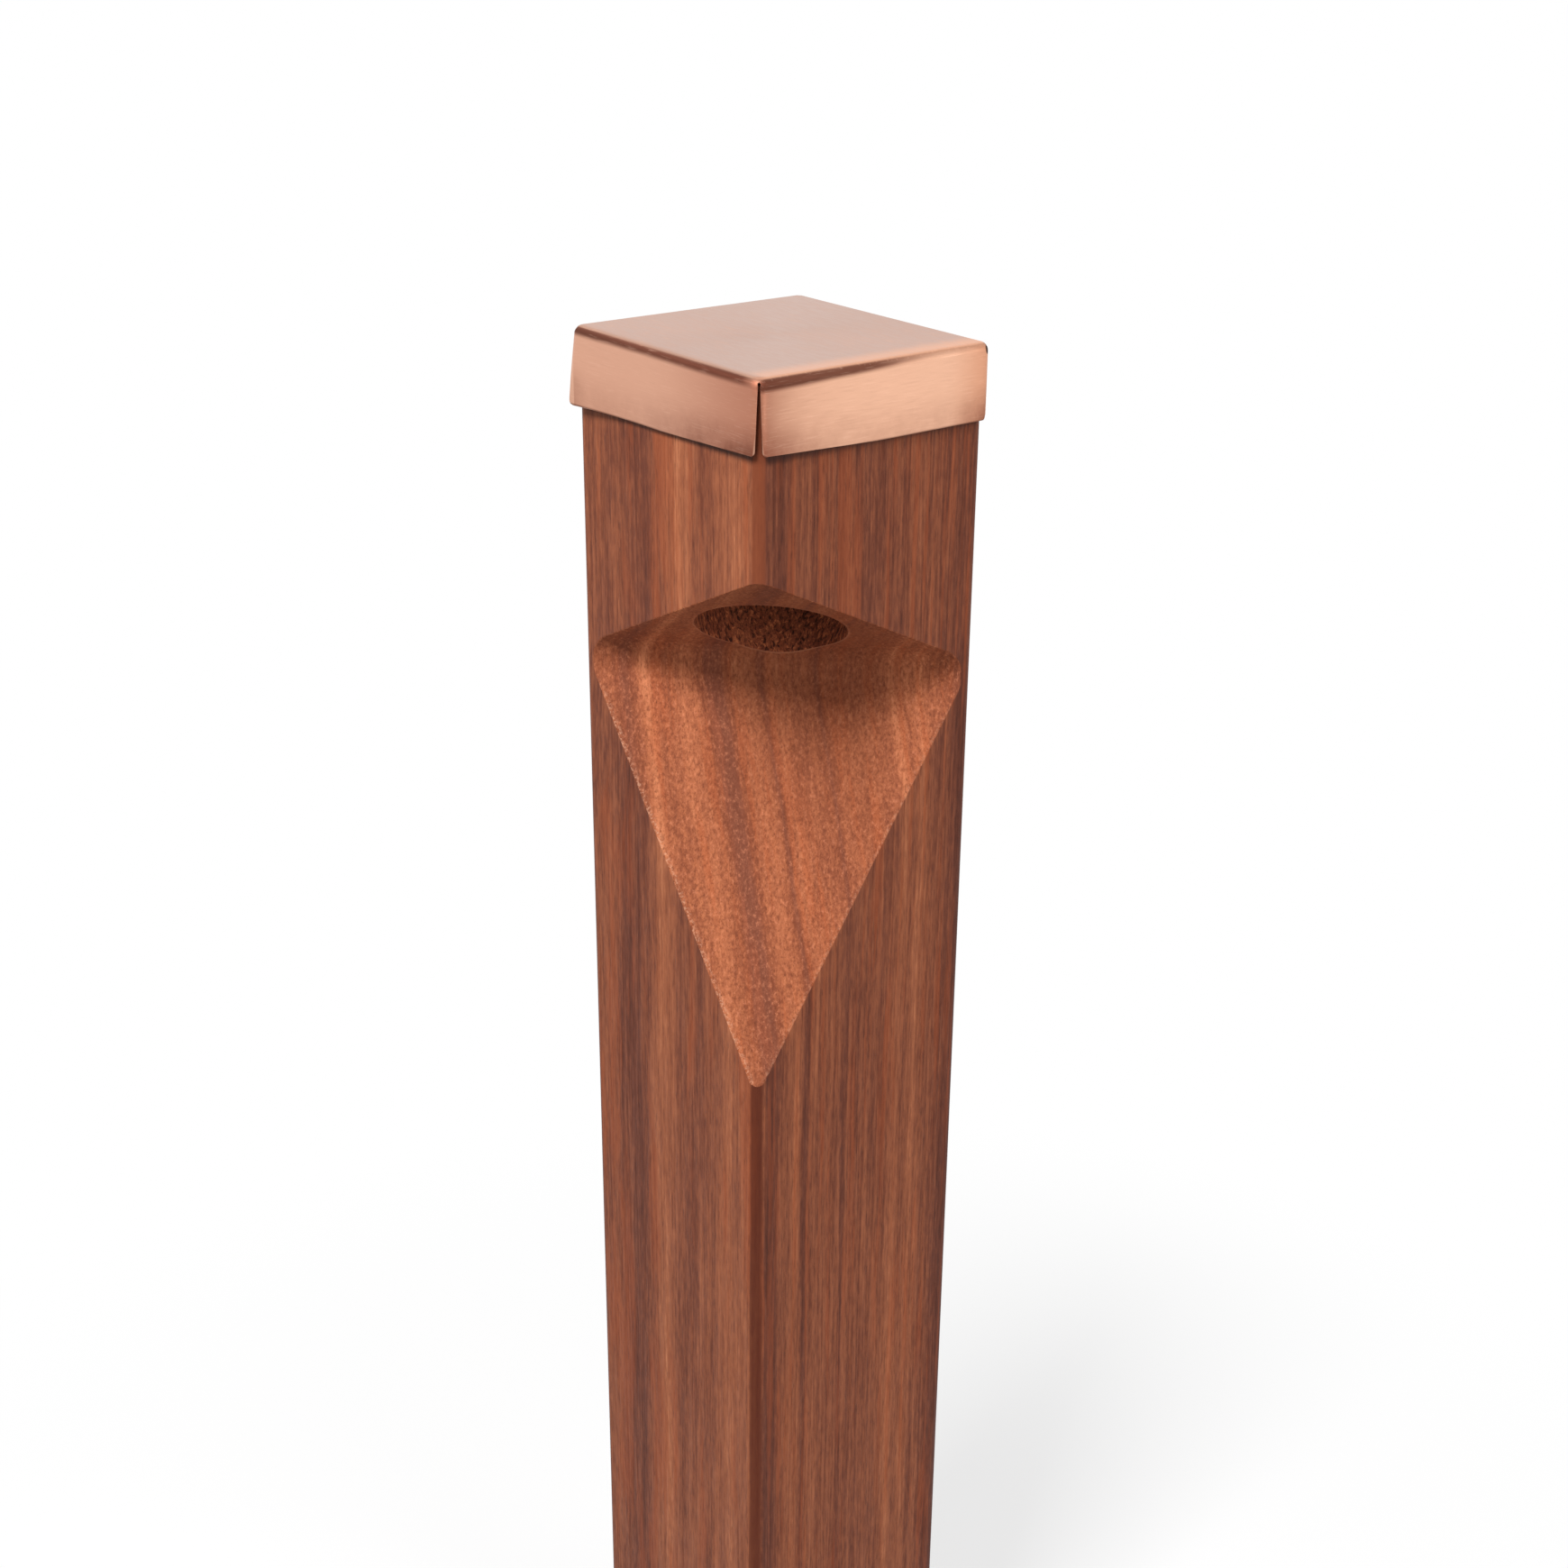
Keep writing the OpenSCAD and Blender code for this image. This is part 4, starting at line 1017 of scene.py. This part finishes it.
def screw_tree():
    """Screw on each place: driven head, threaded shank and point, from one grid rolled up."""
    inputs = {"Places": "Geometry"}
    inputs.update({label: "Float" for label in SCREW_LENGTHS + SCREW_CHOICES})
    inputs.update({"Rows": "Int", "Sides": "Int", "Metal": "Material"})
    t = Tree("threaded_screw", inputs)
    given = t.given
    counts = {"Vertices X": given["Sides"] + 1.0, "Vertices Y": given["Rows"]}
    grid = t.add("GeometryNodeMeshGrid", {**counts, "Size X": 1.0, "Size Y": 1.0})
    spot = t.split(t.add("GeometryNodeInputPosition").outputs[0])
    around = spot[0] + 0.5
    along = spot[1] + 0.5
    turn = around * (2 * math.pi)
    # Recess: a cross or slot, from how far each direction is from its arms
    arms = t.math("COSINE", turn * given["Recess Arms"])
    arm_share = t.math("POWER", abs(arms), 3.0)
    recess = given["Recess Radius"] * t.math("MULTIPLY_ADD", arm_share, 0.72, 0.28)
    inner = t.rise(along, 0.0, 0.02)
    wall = t.rise(along, 0.02, 0.035)
    face = t.rise(along, 0.035, 0.05)
    side = t.rise(along, 0.05, 0.07)
    under = t.math("MAXIMUM", t.rise(along, 0.07, 0.08), side * given["Sunk Head"])
    shank = t.rise(along, 0.08, 0.94)
    point = t.rise(along, 0.94, 0.985)
    close = t.rise(along, 0.985, 1.0)
    straight = given["Length"] - given["Point"] - given["Head Height"]
    down = given["Recess Depth"] * (1.0 - wall)
    down = t.math("MULTIPLY_ADD", given["Head Height"], side, down)
    down = t.math("MULTIPLY_ADD", straight, shank, down)
    down = t.math("MULTIPLY_ADD", given["Point"], point, down)
    radius = recess * inner
    radius = t.math("MULTIPLY_ADD", given["Head Radius"] - recess, face, radius)
    radius = t.math("MULTIPLY_ADD", given["Shank Radius"] - given["Head Radius"], under, radius)
    radius = t.math("MULTIPLY_ADD", given["Shank Radius"] * (-0.66), point, radius)
    radius = t.math("MULTIPLY_ADD", given["Shank Radius"] * (-0.34), close, radius)
    # Thread: a helical groove, run out at both ends
    groove = t.math("PINGPONG", down / given["Pitch"] - around, 0.5)
    run = t.rise(along, 0.085, 0.12) * (1.0 - point)
    depth = groove * 2.0 * (run * given["Thread Depth"])
    radius = radius - depth
    place = t.join(radius * t.math("COSINE", turn), radius * t.math("SINE", turn), down)
    rolled = t.add("GeometryNodeSetPosition", {"Geometry": grid.outputs["Mesh"], "Position": place})
    joined = t.add("GeometryNodeMergeByDistance", {"Geometry": rolled.outputs[0], "Distance": 2e-6})
    flip = t.join(given["Turned Down"] * math.pi, 0.0, 0.0)
    stood = {"Points": given["Places"], "Instance": joined.outputs[0], "Rotation": flip}
    copies = t.add("GeometryNodeInstanceOnPoints", stood)
    real = t.add("GeometryNodeRealizeInstances", {"Geometry": copies.outputs[0]})
    painted = t.add("GeometryNodeSetMaterial", {"Geometry": real.outputs[0], "Material": given["Metal"]})
    t.add("NodeGroupOutput", {"Geometry": painted.outputs[0]})
    return t


def screws(name, node, screw, places, matrix, sizes):
    """Screws at the given places, in millimetres, laid in place by the matrix."""
    mesh = bpy.data.meshes.new(name)
    mesh.from_pydata([tuple(c * MM for c in place) for place in places], [], [])
    obj = scratch(mesh)
    step = obj.modifiers.new("screws", "NODES")
    step.node_group = screw.tree
    for label, value in sizes.items():
        step[screw.sockets[label].identifier] = value * MM if label in SCREW_LENGTHS else value
    step[screw.sockets["Metal"].identifier] = STAINLESS
    mesh = settled(obj)
    mesh.transform(matrix)
    face_outward(mesh)
    piece(name, mesh, "post", STAINLESS, (node,), 35.0)


def face_outward(mesh):
    """Closes the seams and turns the faces outward."""
    work = bmesh.new()
    work.from_mesh(mesh)
    bmesh.ops.remove_doubles(work, verts=work.verts, dist=1e-6)
    bmesh.ops.recalc_face_normals(work, faces=work.faces)
    work.to_mesh(mesh)
    work.free()


def turned(profile, sectors, matrix=UPRIGHT, closed=True, flats=0, flat_rings=0):
    """Solid of revolution about local Z from radius and height pairs, in millimetres.

    The first rings may be pressed into a number of flats."""
    work = bmesh.new()
    rings = []
    for i, (radius, height) in enumerate(profile):
        ring = []
        for k in range(sectors):
            turn = 2 * math.pi * k / sectors
            out = radius
            if i < flat_rings:
                off = turn % (2 * math.pi / flats) - math.pi / flats
                out = radius * math.cos(math.pi / flats) / math.cos(off)
            reach = out * MM
            ring.append(work.verts.new((reach * math.cos(turn), reach * math.sin(turn), height * MM)))
        rings.append(ring)
    pairs = list(zip(rings, rings[1:]))
    if closed:
        pairs.append((rings[-1], rings[0]))
    for low_ring, high_ring in pairs:
        band(work, low_ring, high_ring)
    bmesh.ops.remove_doubles(work, verts=work.verts, dist=1e-6)
    mesh = built(work, "turned")
    mesh.transform(matrix)
    return mesh


def merged(*meshes):
    """One mesh from several; they go."""
    work = bmesh.new()
    for mesh in meshes:
        work.from_mesh(mesh)
        bpy.data.meshes.remove(mesh)
    mesh = bpy.data.meshes.new("merged")
    work.to_mesh(mesh)
    work.free()
    return mesh


def curve_through(points, steps):
    """Smooth line through the points."""
    line = []
    last = len(points) - 1
    for i in range(last):
        a, b, c, d = points[max(i - 1, 0)], points[i], points[i + 1], points[min(i + 2, last)]
        for k in range(steps):
            s = k / steps
            line.append(0.5 * (2 * b + (c - a) * s + (2 * a - 5 * b + 4 * c - d) * s ** 2
                               + (3 * b - a - 3 * c + d) * s ** 3))
    return line + [points[-1]]


def tube(line, radius, sides=14):
    """Round lead along a line of points, in millimetres, cut flat at its ends."""
    work = bmesh.new()
    across = Vector((1 / SQ2, 1 / SQ2, 0))
    rings = []
    last = len(line) - 1
    for i, point in enumerate(line):
        ahead = (line[min(i + 1, last)] - line[max(i - 1, 0)]).normalized()
        across = (across - across.dot(ahead) * ahead).normalized()
        beside = ahead.cross(across)
        ring = []
        for k in range(sides):
            turn = 2 * math.pi * k / sides
            spoke = across * math.cos(turn) + beside * math.sin(turn)
            ring.append(work.verts.new((point + radius * spoke) * MM))
        rings.append(ring)
    for low_ring, high_ring in zip(rings, rings[1:]):
        band(work, low_ring, high_ring)
    work.faces.new(rings[0][::-1])
    work.faces.new(rings[-1])
    return built(work, "lead")


def bore_point(back, side, up):
    """Place given on the lamp bore's own axes."""
    return MOUTH + BORE_X * back + BORE_Y * side + BORE_Z * up


def pocket_point(place):
    """Place given on the pocket's own axes."""
    return POCKET_MIDDLE + POCKET_X * place[0] + POCKET_Y * place[1] + Vector((0, 0, place[2]))


def make_screws():
    """All the screws, from one tree: under the base, in the can and in the pocket."""
    screw = screw_tree()
    corners = [(x, y, 0.4) for x, y in base_screw_places()]
    screws("base_wood_screws", "base_screws", screw, corners, UPRIGHT, {
        "Head Radius": 6.0, "Head Height": 3.0, "Sunk Head": 1.0, "Shank Radius": 3.0,
        "Length": 70.0, "Pitch": 2.8, "Thread Depth": 0.75, "Point": 6.0,
        "Recess Radius": 3.2, "Recess Depth": 2.0, "Recess Arms": 2.0,
        "Turned Down": 0.0, "Rows": 190, "Sides": 24,
    })
    pair = [(0, side * HOLDER_SCREW_Y, SCREW_SEAT - 1.4) for side in (-1, 1)]
    screws("holder_pan_screws", "holder_screws", screw, pair, ON_BORE, {
        "Head Radius": 2.2, "Head Height": 1.4, "Sunk Head": 0.0, "Shank Radius": 1.3,
        "Length": 10.2, "Pitch": 0.5, "Thread Depth": 0.25, "Point": 0.4,
        "Recess Radius": 1.2, "Recess Depth": 0.8, "Recess Arms": 2.0,
        "Turned Down": 0.0, "Rows": 120, "Sides": 20,
    })
    poles = [(BLOCK_SHIFT + x * TERMINAL_PITCH / 2, y * POLE_PITCH / 2) for x in (-1, 1) for y in (-1, 1)]
    four = [(x, y, TUBE_LEVEL + 6.25) for x, y in poles]
    screws("terminal_grub_screws", "terminal_screws", screw, four, IN_POCKET, {
        "Head Radius": 1.18, "Head Height": 0.2, "Sunk Head": 1.0, "Shank Radius": 1.2,
        "Length": 5.0, "Pitch": 0.5, "Thread Depth": 0.22, "Point": 0.3,
        "Recess Radius": 0.95, "Recess Depth": 0.7, "Recess Arms": 1.0,
        "Turned Down": 1.0, "Rows": 80, "Sides": 20,
    })
    middle = [(BLOCK_SHIFT, 0, BLOCK_H)]
    screws("block_wood_screw", "block_screw", screw, middle, IN_POCKET, {
        "Head Radius": 2.8, "Head Height": 1.4, "Sunk Head": 1.0, "Shank Radius": 1.4,
        "Length": 17.0, "Pitch": 1.1, "Thread Depth": 0.4, "Point": 2.8,
        "Recess Radius": 1.5, "Recess Depth": 1.0, "Recess Arms": 2.0,
        "Turned Down": 1.0, "Rows": 120, "Sides": 20,
    })


def make_window_ring():
    """Ring with a lip, grip grooves outside, thread inside and two spanner holes."""
    z, back = RING_FRONT, RING_BACK
    profile = [
        (APERTURE_R, z + RING_LIP), (APERTURE_R, z + 0.7), (APERTURE_R + 0.7, z),
        (RING_R - 0.5, z), (RING_R, z + 0.5),
    ]
    for groove in GRIP_GROOVES:
        level = z + groove
        profile += [
            (RING_R, level), (RING_R - GRIP_DEEP, level + 0.3),
            (RING_R - GRIP_DEEP, level + 0.6), (RING_R, level + 0.9),
        ]
    profile += [
        (RING_R, back - 0.4), (RING_R - 0.4, back),
        (RING_INNER_R + 0.4, back), (RING_INNER_R, back - 0.4),
    ]
    for i in range(RING_THREAD_TURNS):
        level = back - 1.0 - i * RING_THREAD_PITCH
        profile += [(RING_INNER_R, level), (RING_INNER_R + RING_THREAD_DEEP, level - 0.37)]
    profile += [(RING_INNER_R, z + RING_LIP + 3.2), (RING_INNER_R, z + RING_LIP)]
    ring = scratch(turned(profile, 120, ON_BORE))
    spots = [disc(SPANNER_R, 20, (0, side * SPANNER_AT)) for side in (-1, 1)]
    ring = carve(ring, *[prism(spot, z - 1, z + RING_LIP / 2, ON_BORE) for spot in spots])
    mesh = settled(ring)
    piece("turned_window_ring", mesh, "window", RING_METAL, ("window_ring",), 25.0)


def make_lamp():
    """Reflector lamp: bowl with pressed facets, cover glass, quartz capsule with its coil."""
    rows, flats = 9, 28
    bowl = []
    for i in range(rows + 1):
        share = i / rows
        radius = NECK_R + (BOWL_RIM_R - BOWL_WALL - NECK_R) * share
        bowl.append((radius, BOWL_BACK - (BOWL_BACK - LAMP_FRONT - BOWL_RIM_L) * share ** 2))
    rim = [
        (BOWL_RIM_R - BOWL_WALL, LAMP_FRONT + 0.2), (BOWL_RIM_R - 0.7, LAMP_FRONT),
        (BOWL_RIM_R - 0.3, LAMP_FRONT), (BOWL_RIM_R, LAMP_FRONT + 0.3),
        (BOWL_RIM_R, LAMP_FRONT + BOWL_RIM_L),
    ]
    outside = [(radius + BOWL_WALL, height) for radius, height in bowl[-2::-1]]
    mesh = turned(bowl + rim + outside, 3 * flats, ON_BORE, flats=flats, flat_rings=rows)
    piece("faceted_reflector", mesh, "lamp", COATED, ("lamp_reflector",), 5.0)
    eased_copy("lamp_front_glass", "lamp", LAMP_GLASS, 0.15)
    # Capsule: domed nose with its sealed tip, round wall, drawn in at the back
    nose = BOWL_BACK - CAPSULE_L
    outer = [(0.0, nose - CAPSULE_R + 0.1), (0.35, nose - CAPSULE_R + 0.3), (0.6, nose - CAPSULE_R + 0.9)]
    for i in range(1, 9):
        turn = math.radians(12 + 78 * i / 8)
        outer.append((CAPSULE_R * 0.98 * math.sin(turn), nose + 0.4 - 3.5 * math.cos(turn)))
    outer += [
        (CAPSULE_R * 0.98, BOWL_BACK - 4.5), (CAPSULE_R * 0.9, BOWL_BACK - 3.2),
        (CAPSULE_R * 0.8, BOWL_BACK - 0.2), (CAPSULE_R * 0.8, BOWL_BACK - 0.05), (0.0, BOWL_BACK - 0.05),
    ]
    inner = [
        (0.0, BOWL_BACK - 4.4), (CAPSULE_R * 0.5, BOWL_BACK - 4.6), (CAPSULE_R * 0.76, BOWL_BACK - 5.4),
        (CAPSULE_R * 0.78, nose + 0.6), (CAPSULE_R * 0.62, nose - 0.9), (CAPSULE_R * 0.3, nose - 2.0),
        (0.0, nose - 2.3),
    ]
    shell = turned(outer, 40, ON_BORE, closed=False)
    hollow = turned(inner, 40, ON_BORE, closed=False)
    hollow.flip_normals()
    mesh = merged(shell, hollow)
    piece("quartz_capsule", mesh, "lamp", QUARTZ, ("lamp_capsule",), 60.0)
    # Coil across the capsule, on two wires that come up from its back
    turns, per_turn, half_span, level = 11, 10, 1.5, nose + 2.2
    coil = []
    for i in range(turns * per_turn + 1):
        share = i / (turns * per_turn)
        angle = 2 * math.pi * turns * share
        up = level + COIL_R * math.sin(angle)
        coil.append(bore_point(COIL_R * math.cos(angle), half_span * (2 * share - 1), up))
    wires = []
    for side in (-1, 1):
        path = [
            bore_point(0, side * 1.3, BOWL_BACK - 4.0), bore_point(0, side * 1.35, BOWL_BACK - 6.0),
            bore_point(0.1, side * 1.6, level + 0.8), bore_point(COIL_R, side * half_span, level),
        ]
        wires.append(tube(curve_through(path, 5), LEG_WIRE_R, 8))
    piece("lamp_coil", tube(coil, COIL_WIRE_R, 6), "lamp", TUNGSTEN, smooth=60.0)
    piece("coil_wires", merged(*wires), "lamp", PIN_METAL, smooth=60.0)
    eased_copy("lamp_base", "lamp", LAMP_CERAMIC, 0.6)
    eased_copy("lamp_pins", "lamp", PIN_METAL, 0.2)


def make_o_rings():
    """Round rings that seal the can in its bore."""
    rings = []
    for place in O_RING_AT:
        section = disc(O_RING_R, 20, (O_RING_MIDDLE, CAN_FRONT + place))
        rings.append(turned(section, 96, ON_BORE))
    mesh = merged(*rings)
    piece("can_seal_rings", mesh, "post", BLACK_RUBBER, ("can_o_rings",), 60.0)


def make_leads():
    """Sheathed lead from the can to the pocket, and the cores at both its ends."""
    levels = (CAN_FLOOR - 1.4, CAN_BACK, CAN_BACK + 2.8, CAN_BACK + 4.0)
    start = [bore_point(BUSH_AT[0], BUSH_AT[1], up) for up in levels]
    tail = [pocket_point(p) for p in ((-8.8, -5, -9), (-8.6, -4.5, -5), (-8.6, -4.5, -1))]
    sheath = tube(curve_through(start + tail, 6), LEAD_R, 20)
    piece("sheathed_lead", sheath, "post", SHEATH, ("lamp_lead",), 60.0)
    # Each core leaves the sheath straight, then curves into its terminal or onto its contact
    outer_routes = (
        ((-8.6, -5.5, -0.9), (-8.6, -5.5, -0.2), (-8.6, -5.5, 0.8), (-7.2, -4.8, 4), (-5, -4.2, 5.1)),
        ((-8.6, -3.5, -0.9), (-8.6, -3.5, -0.2), (-8.6, -3.5, 0.8), (-8.2, 0, 3.2), (-7, 2.8, 4.6),
         (-4.8, 4, 5.2)),
    )
    outer = []
    for side, route in zip((-1, 1), outer_routes):
        ends = [(BLOCK_SHIFT - BLOCK_L / 2 + x, side * POLE_PITCH / 2, TUBE_LEVEL) for x in (0, 2)]
        outer.append(tube(curve_through([pocket_point(p) for p in list(route) + ends], 6), CORE_R))
    piece("pocket_cores", merged(*outer), "post", CORE, ("lead_cores",), 60.0)
    inner_routes = (
        ((9.3, 9.6, -1.5), (9.3, 9.6, -1.9), (9.3, 9.6, -2.4), (8.4, 7.6, -3.8), (7.4, 4.2, -4)),
        ((10.7, 8.4, -1.5), (10.7, 8.4, -1.9), (10.7, 8.4, -2.4), (10.2, 5.6, -3.8), (9.2, 1, -4),
         (8, -1.6, -4)),
    )
    inner = []
    for side, route in zip((1, -1), inner_routes):
        ends = [(back, side * PIN_PITCH / 2, -4) for back in (HOLDER_W / 2 + 1, CONTACT_R + 0.1)]
        points = [bore_point(p[0], p[1], CAN_FLOOR + p[2]) for p in list(route) + ends]
        inner.append(tube(curve_through(points, 6), CORE_R))
    piece("can_cores", merged(*inner), "post", CORE, ("holder_leads",), 60.0)


make_screws()
make_window_ring()
make_lamp()
make_o_rings()
make_leads()

# Fittings whose CAD shape is right, with their edges eased
for node, body, slot, material, width in (
    ("cap_seal", "post", "foam", FOAM, 0.15),
    ("base_plate", "post", "galvanised_steel", ZINC, 0.5),
    ("foot_pad", "post", "pad_rubber", PAD, 0.4),
    ("cable_grommet", "post", "grommet_rubber", GROMMET, 0.35),
    ("lamp_can", "post", "can_aluminium", CAN_METAL, 0.25),
    ("window_glass", "window", "window_glass", WINDOW, 0.3),
    ("window_gasket", "window", "gasket_silicone", SILICONE, 0.2),
    ("lamp_holder", "post", "holder_ceramic", HOLDER_CERAMIC, 0.3),
    ("holder_contacts", "post", "contact_brass", BRASS, 0.08),
    ("can_bush", "post", "bush_rubber", BLACK_RUBBER, 0.2),
    ("terminal_block", "post", "block_plastic", NYLON, 0.4),
    ("terminal_tubes", "post", "contact_brass", BRASS, 0.1),
):
    eased_copy(node, body, material, width)


# Stage: pale floor that fades to plain white, soft lamps, camera

def seen_plainly(nodes):
    """1 for what the camera sees, straight on or by way of metal or glass."""
    path = nodes.add("ShaderNodeLightPath").outputs
    seen = nodes.math("MAXIMUM", path["Is Camera Ray"], path["Is Glossy Ray"])
    return nodes.math("MAXIMUM", seen, path["Is Transmission Ray"])


def white_floor():
    """Pale floor that keeps the object's shadow, and is plain white further out."""
    f = Finish("pale_floor", Roughness=0.9)
    seen = seen_plainly(f)
    away = f.vector("LENGTH", f.vector("MULTIPLY", f.place, (1, 1, 0)))
    fade = f.remap(away, 0.20, 0.55, 0.62, 1.0)
    plain = f.add("ShaderNodeEmission", {"Color": (1, 1, 1, 1), "Strength": fade * seen})
    f.set("Base Color", (0.36, 0.36, 0.36, 1))
    keep = f.remap(away, 0.20, 0.55) * seen
    black = f.add("ShaderNodeMixShader", {0: keep, 1: f.shader.outputs[0]})
    both = f.add("ShaderNodeAddShader", {0: black.outputs[0], 1: plain.outputs[0]})
    f.put(f.tree.nodes["Material Output"].inputs["Surface"], both.outputs[0])
    return f.material


def make_stage():
    """Floor, and a plain white world."""
    side = 9.0
    corners = [(-side, -side, 0), (side, -side, 0), (side, side, 0), (-side, side, 0)]
    mesh = bpy.data.meshes.new("floor")
    mesh.from_pydata(corners, [], [(0, 1, 2, 3)])
    floor = scratch(mesh, "floor")
    mesh.materials.append(white_floor())
    world = bpy.data.worlds.new("studio")
    bpy.context.scene.world = world
    world.use_nodes = True
    studio = Nodes(world.node_tree)
    sky = world.node_tree.nodes["Background"]
    studio.put(sky.inputs["Color"], (1, 1, 1, 1))
    strength = studio.remap(seen_plainly(studio), 0.0, 1.0, 0.42, 1.0, kind="LINEAR")
    studio.put(sky.inputs["Strength"], strength)


def toward(azimuth, elevation):
    """Direction from the object, azimuth as seen from above with 0 on the -Y side."""
    level = math.cos(elevation)
    return Vector((math.sin(azimuth) * level, -math.cos(azimuth) * level, math.sin(elevation)))


def soft_lamp(name, azimuth, elevation, distance, size, power):
    """Square lamp aimed at the niche's height, with its angles in degrees."""
    back = toward(math.radians(azimuth), math.radians(elevation))
    light = bpy.data.lights.new(name, "AREA")
    light.size = size
    light.energy = power
    lamp = bpy.data.objects.new(name, light)
    bpy.context.scene.collection.objects.link(lamp)
    lamp.location = Vector((0, 0, 0.45)) + back * distance
    lamp.rotation_euler = back.to_track_quat("Z", "Y").to_euler()


def make_camera():
    """Viewing angle of the photograph: focal length in pixels, angles in radians, stand in mm."""
    image = 1740.0
    focal = 2481.22
    azimuth, pitch, roll = 0.802038, 0.401845, 0.0389852
    off_right, off_up, distance = 48.983, -138.325, 685.569
    centre_shift = 0.10
    back = toward(azimuth, pitch)
    right = Vector((math.cos(azimuth), math.sin(azimuth), 0))
    up = back.cross(right)
    c, s = math.cos(roll), math.sin(roll)
    right, up = c * right + s * up, c * up - s * right
    place = back * distance + right * off_right + up * off_up + Vector((0, 0, OVERALL))
    data = bpy.data.cameras.new("camera")
    data.sensor_width = 36.0
    data.lens = focal / image * data.sensor_width
    data.shift_x = -centre_shift
    data.clip_start = 0.02
    data.clip_end = 40.0
    camera = bpy.data.objects.new("camera", data)
    bpy.context.scene.collection.objects.link(camera)
    camera.matrix_world = frame_matrix(right, up, back, place)
    bpy.context.scene.camera = camera


make_stage()
soft_lamp("key", 21.6, 52.3, 1.6, 0.46, 27.0)
soft_lamp("side", 96, 14, 1.6, 1.0, 7.0)
make_camera()
bpy.context.scene.view_settings.view_transform = "Standard"
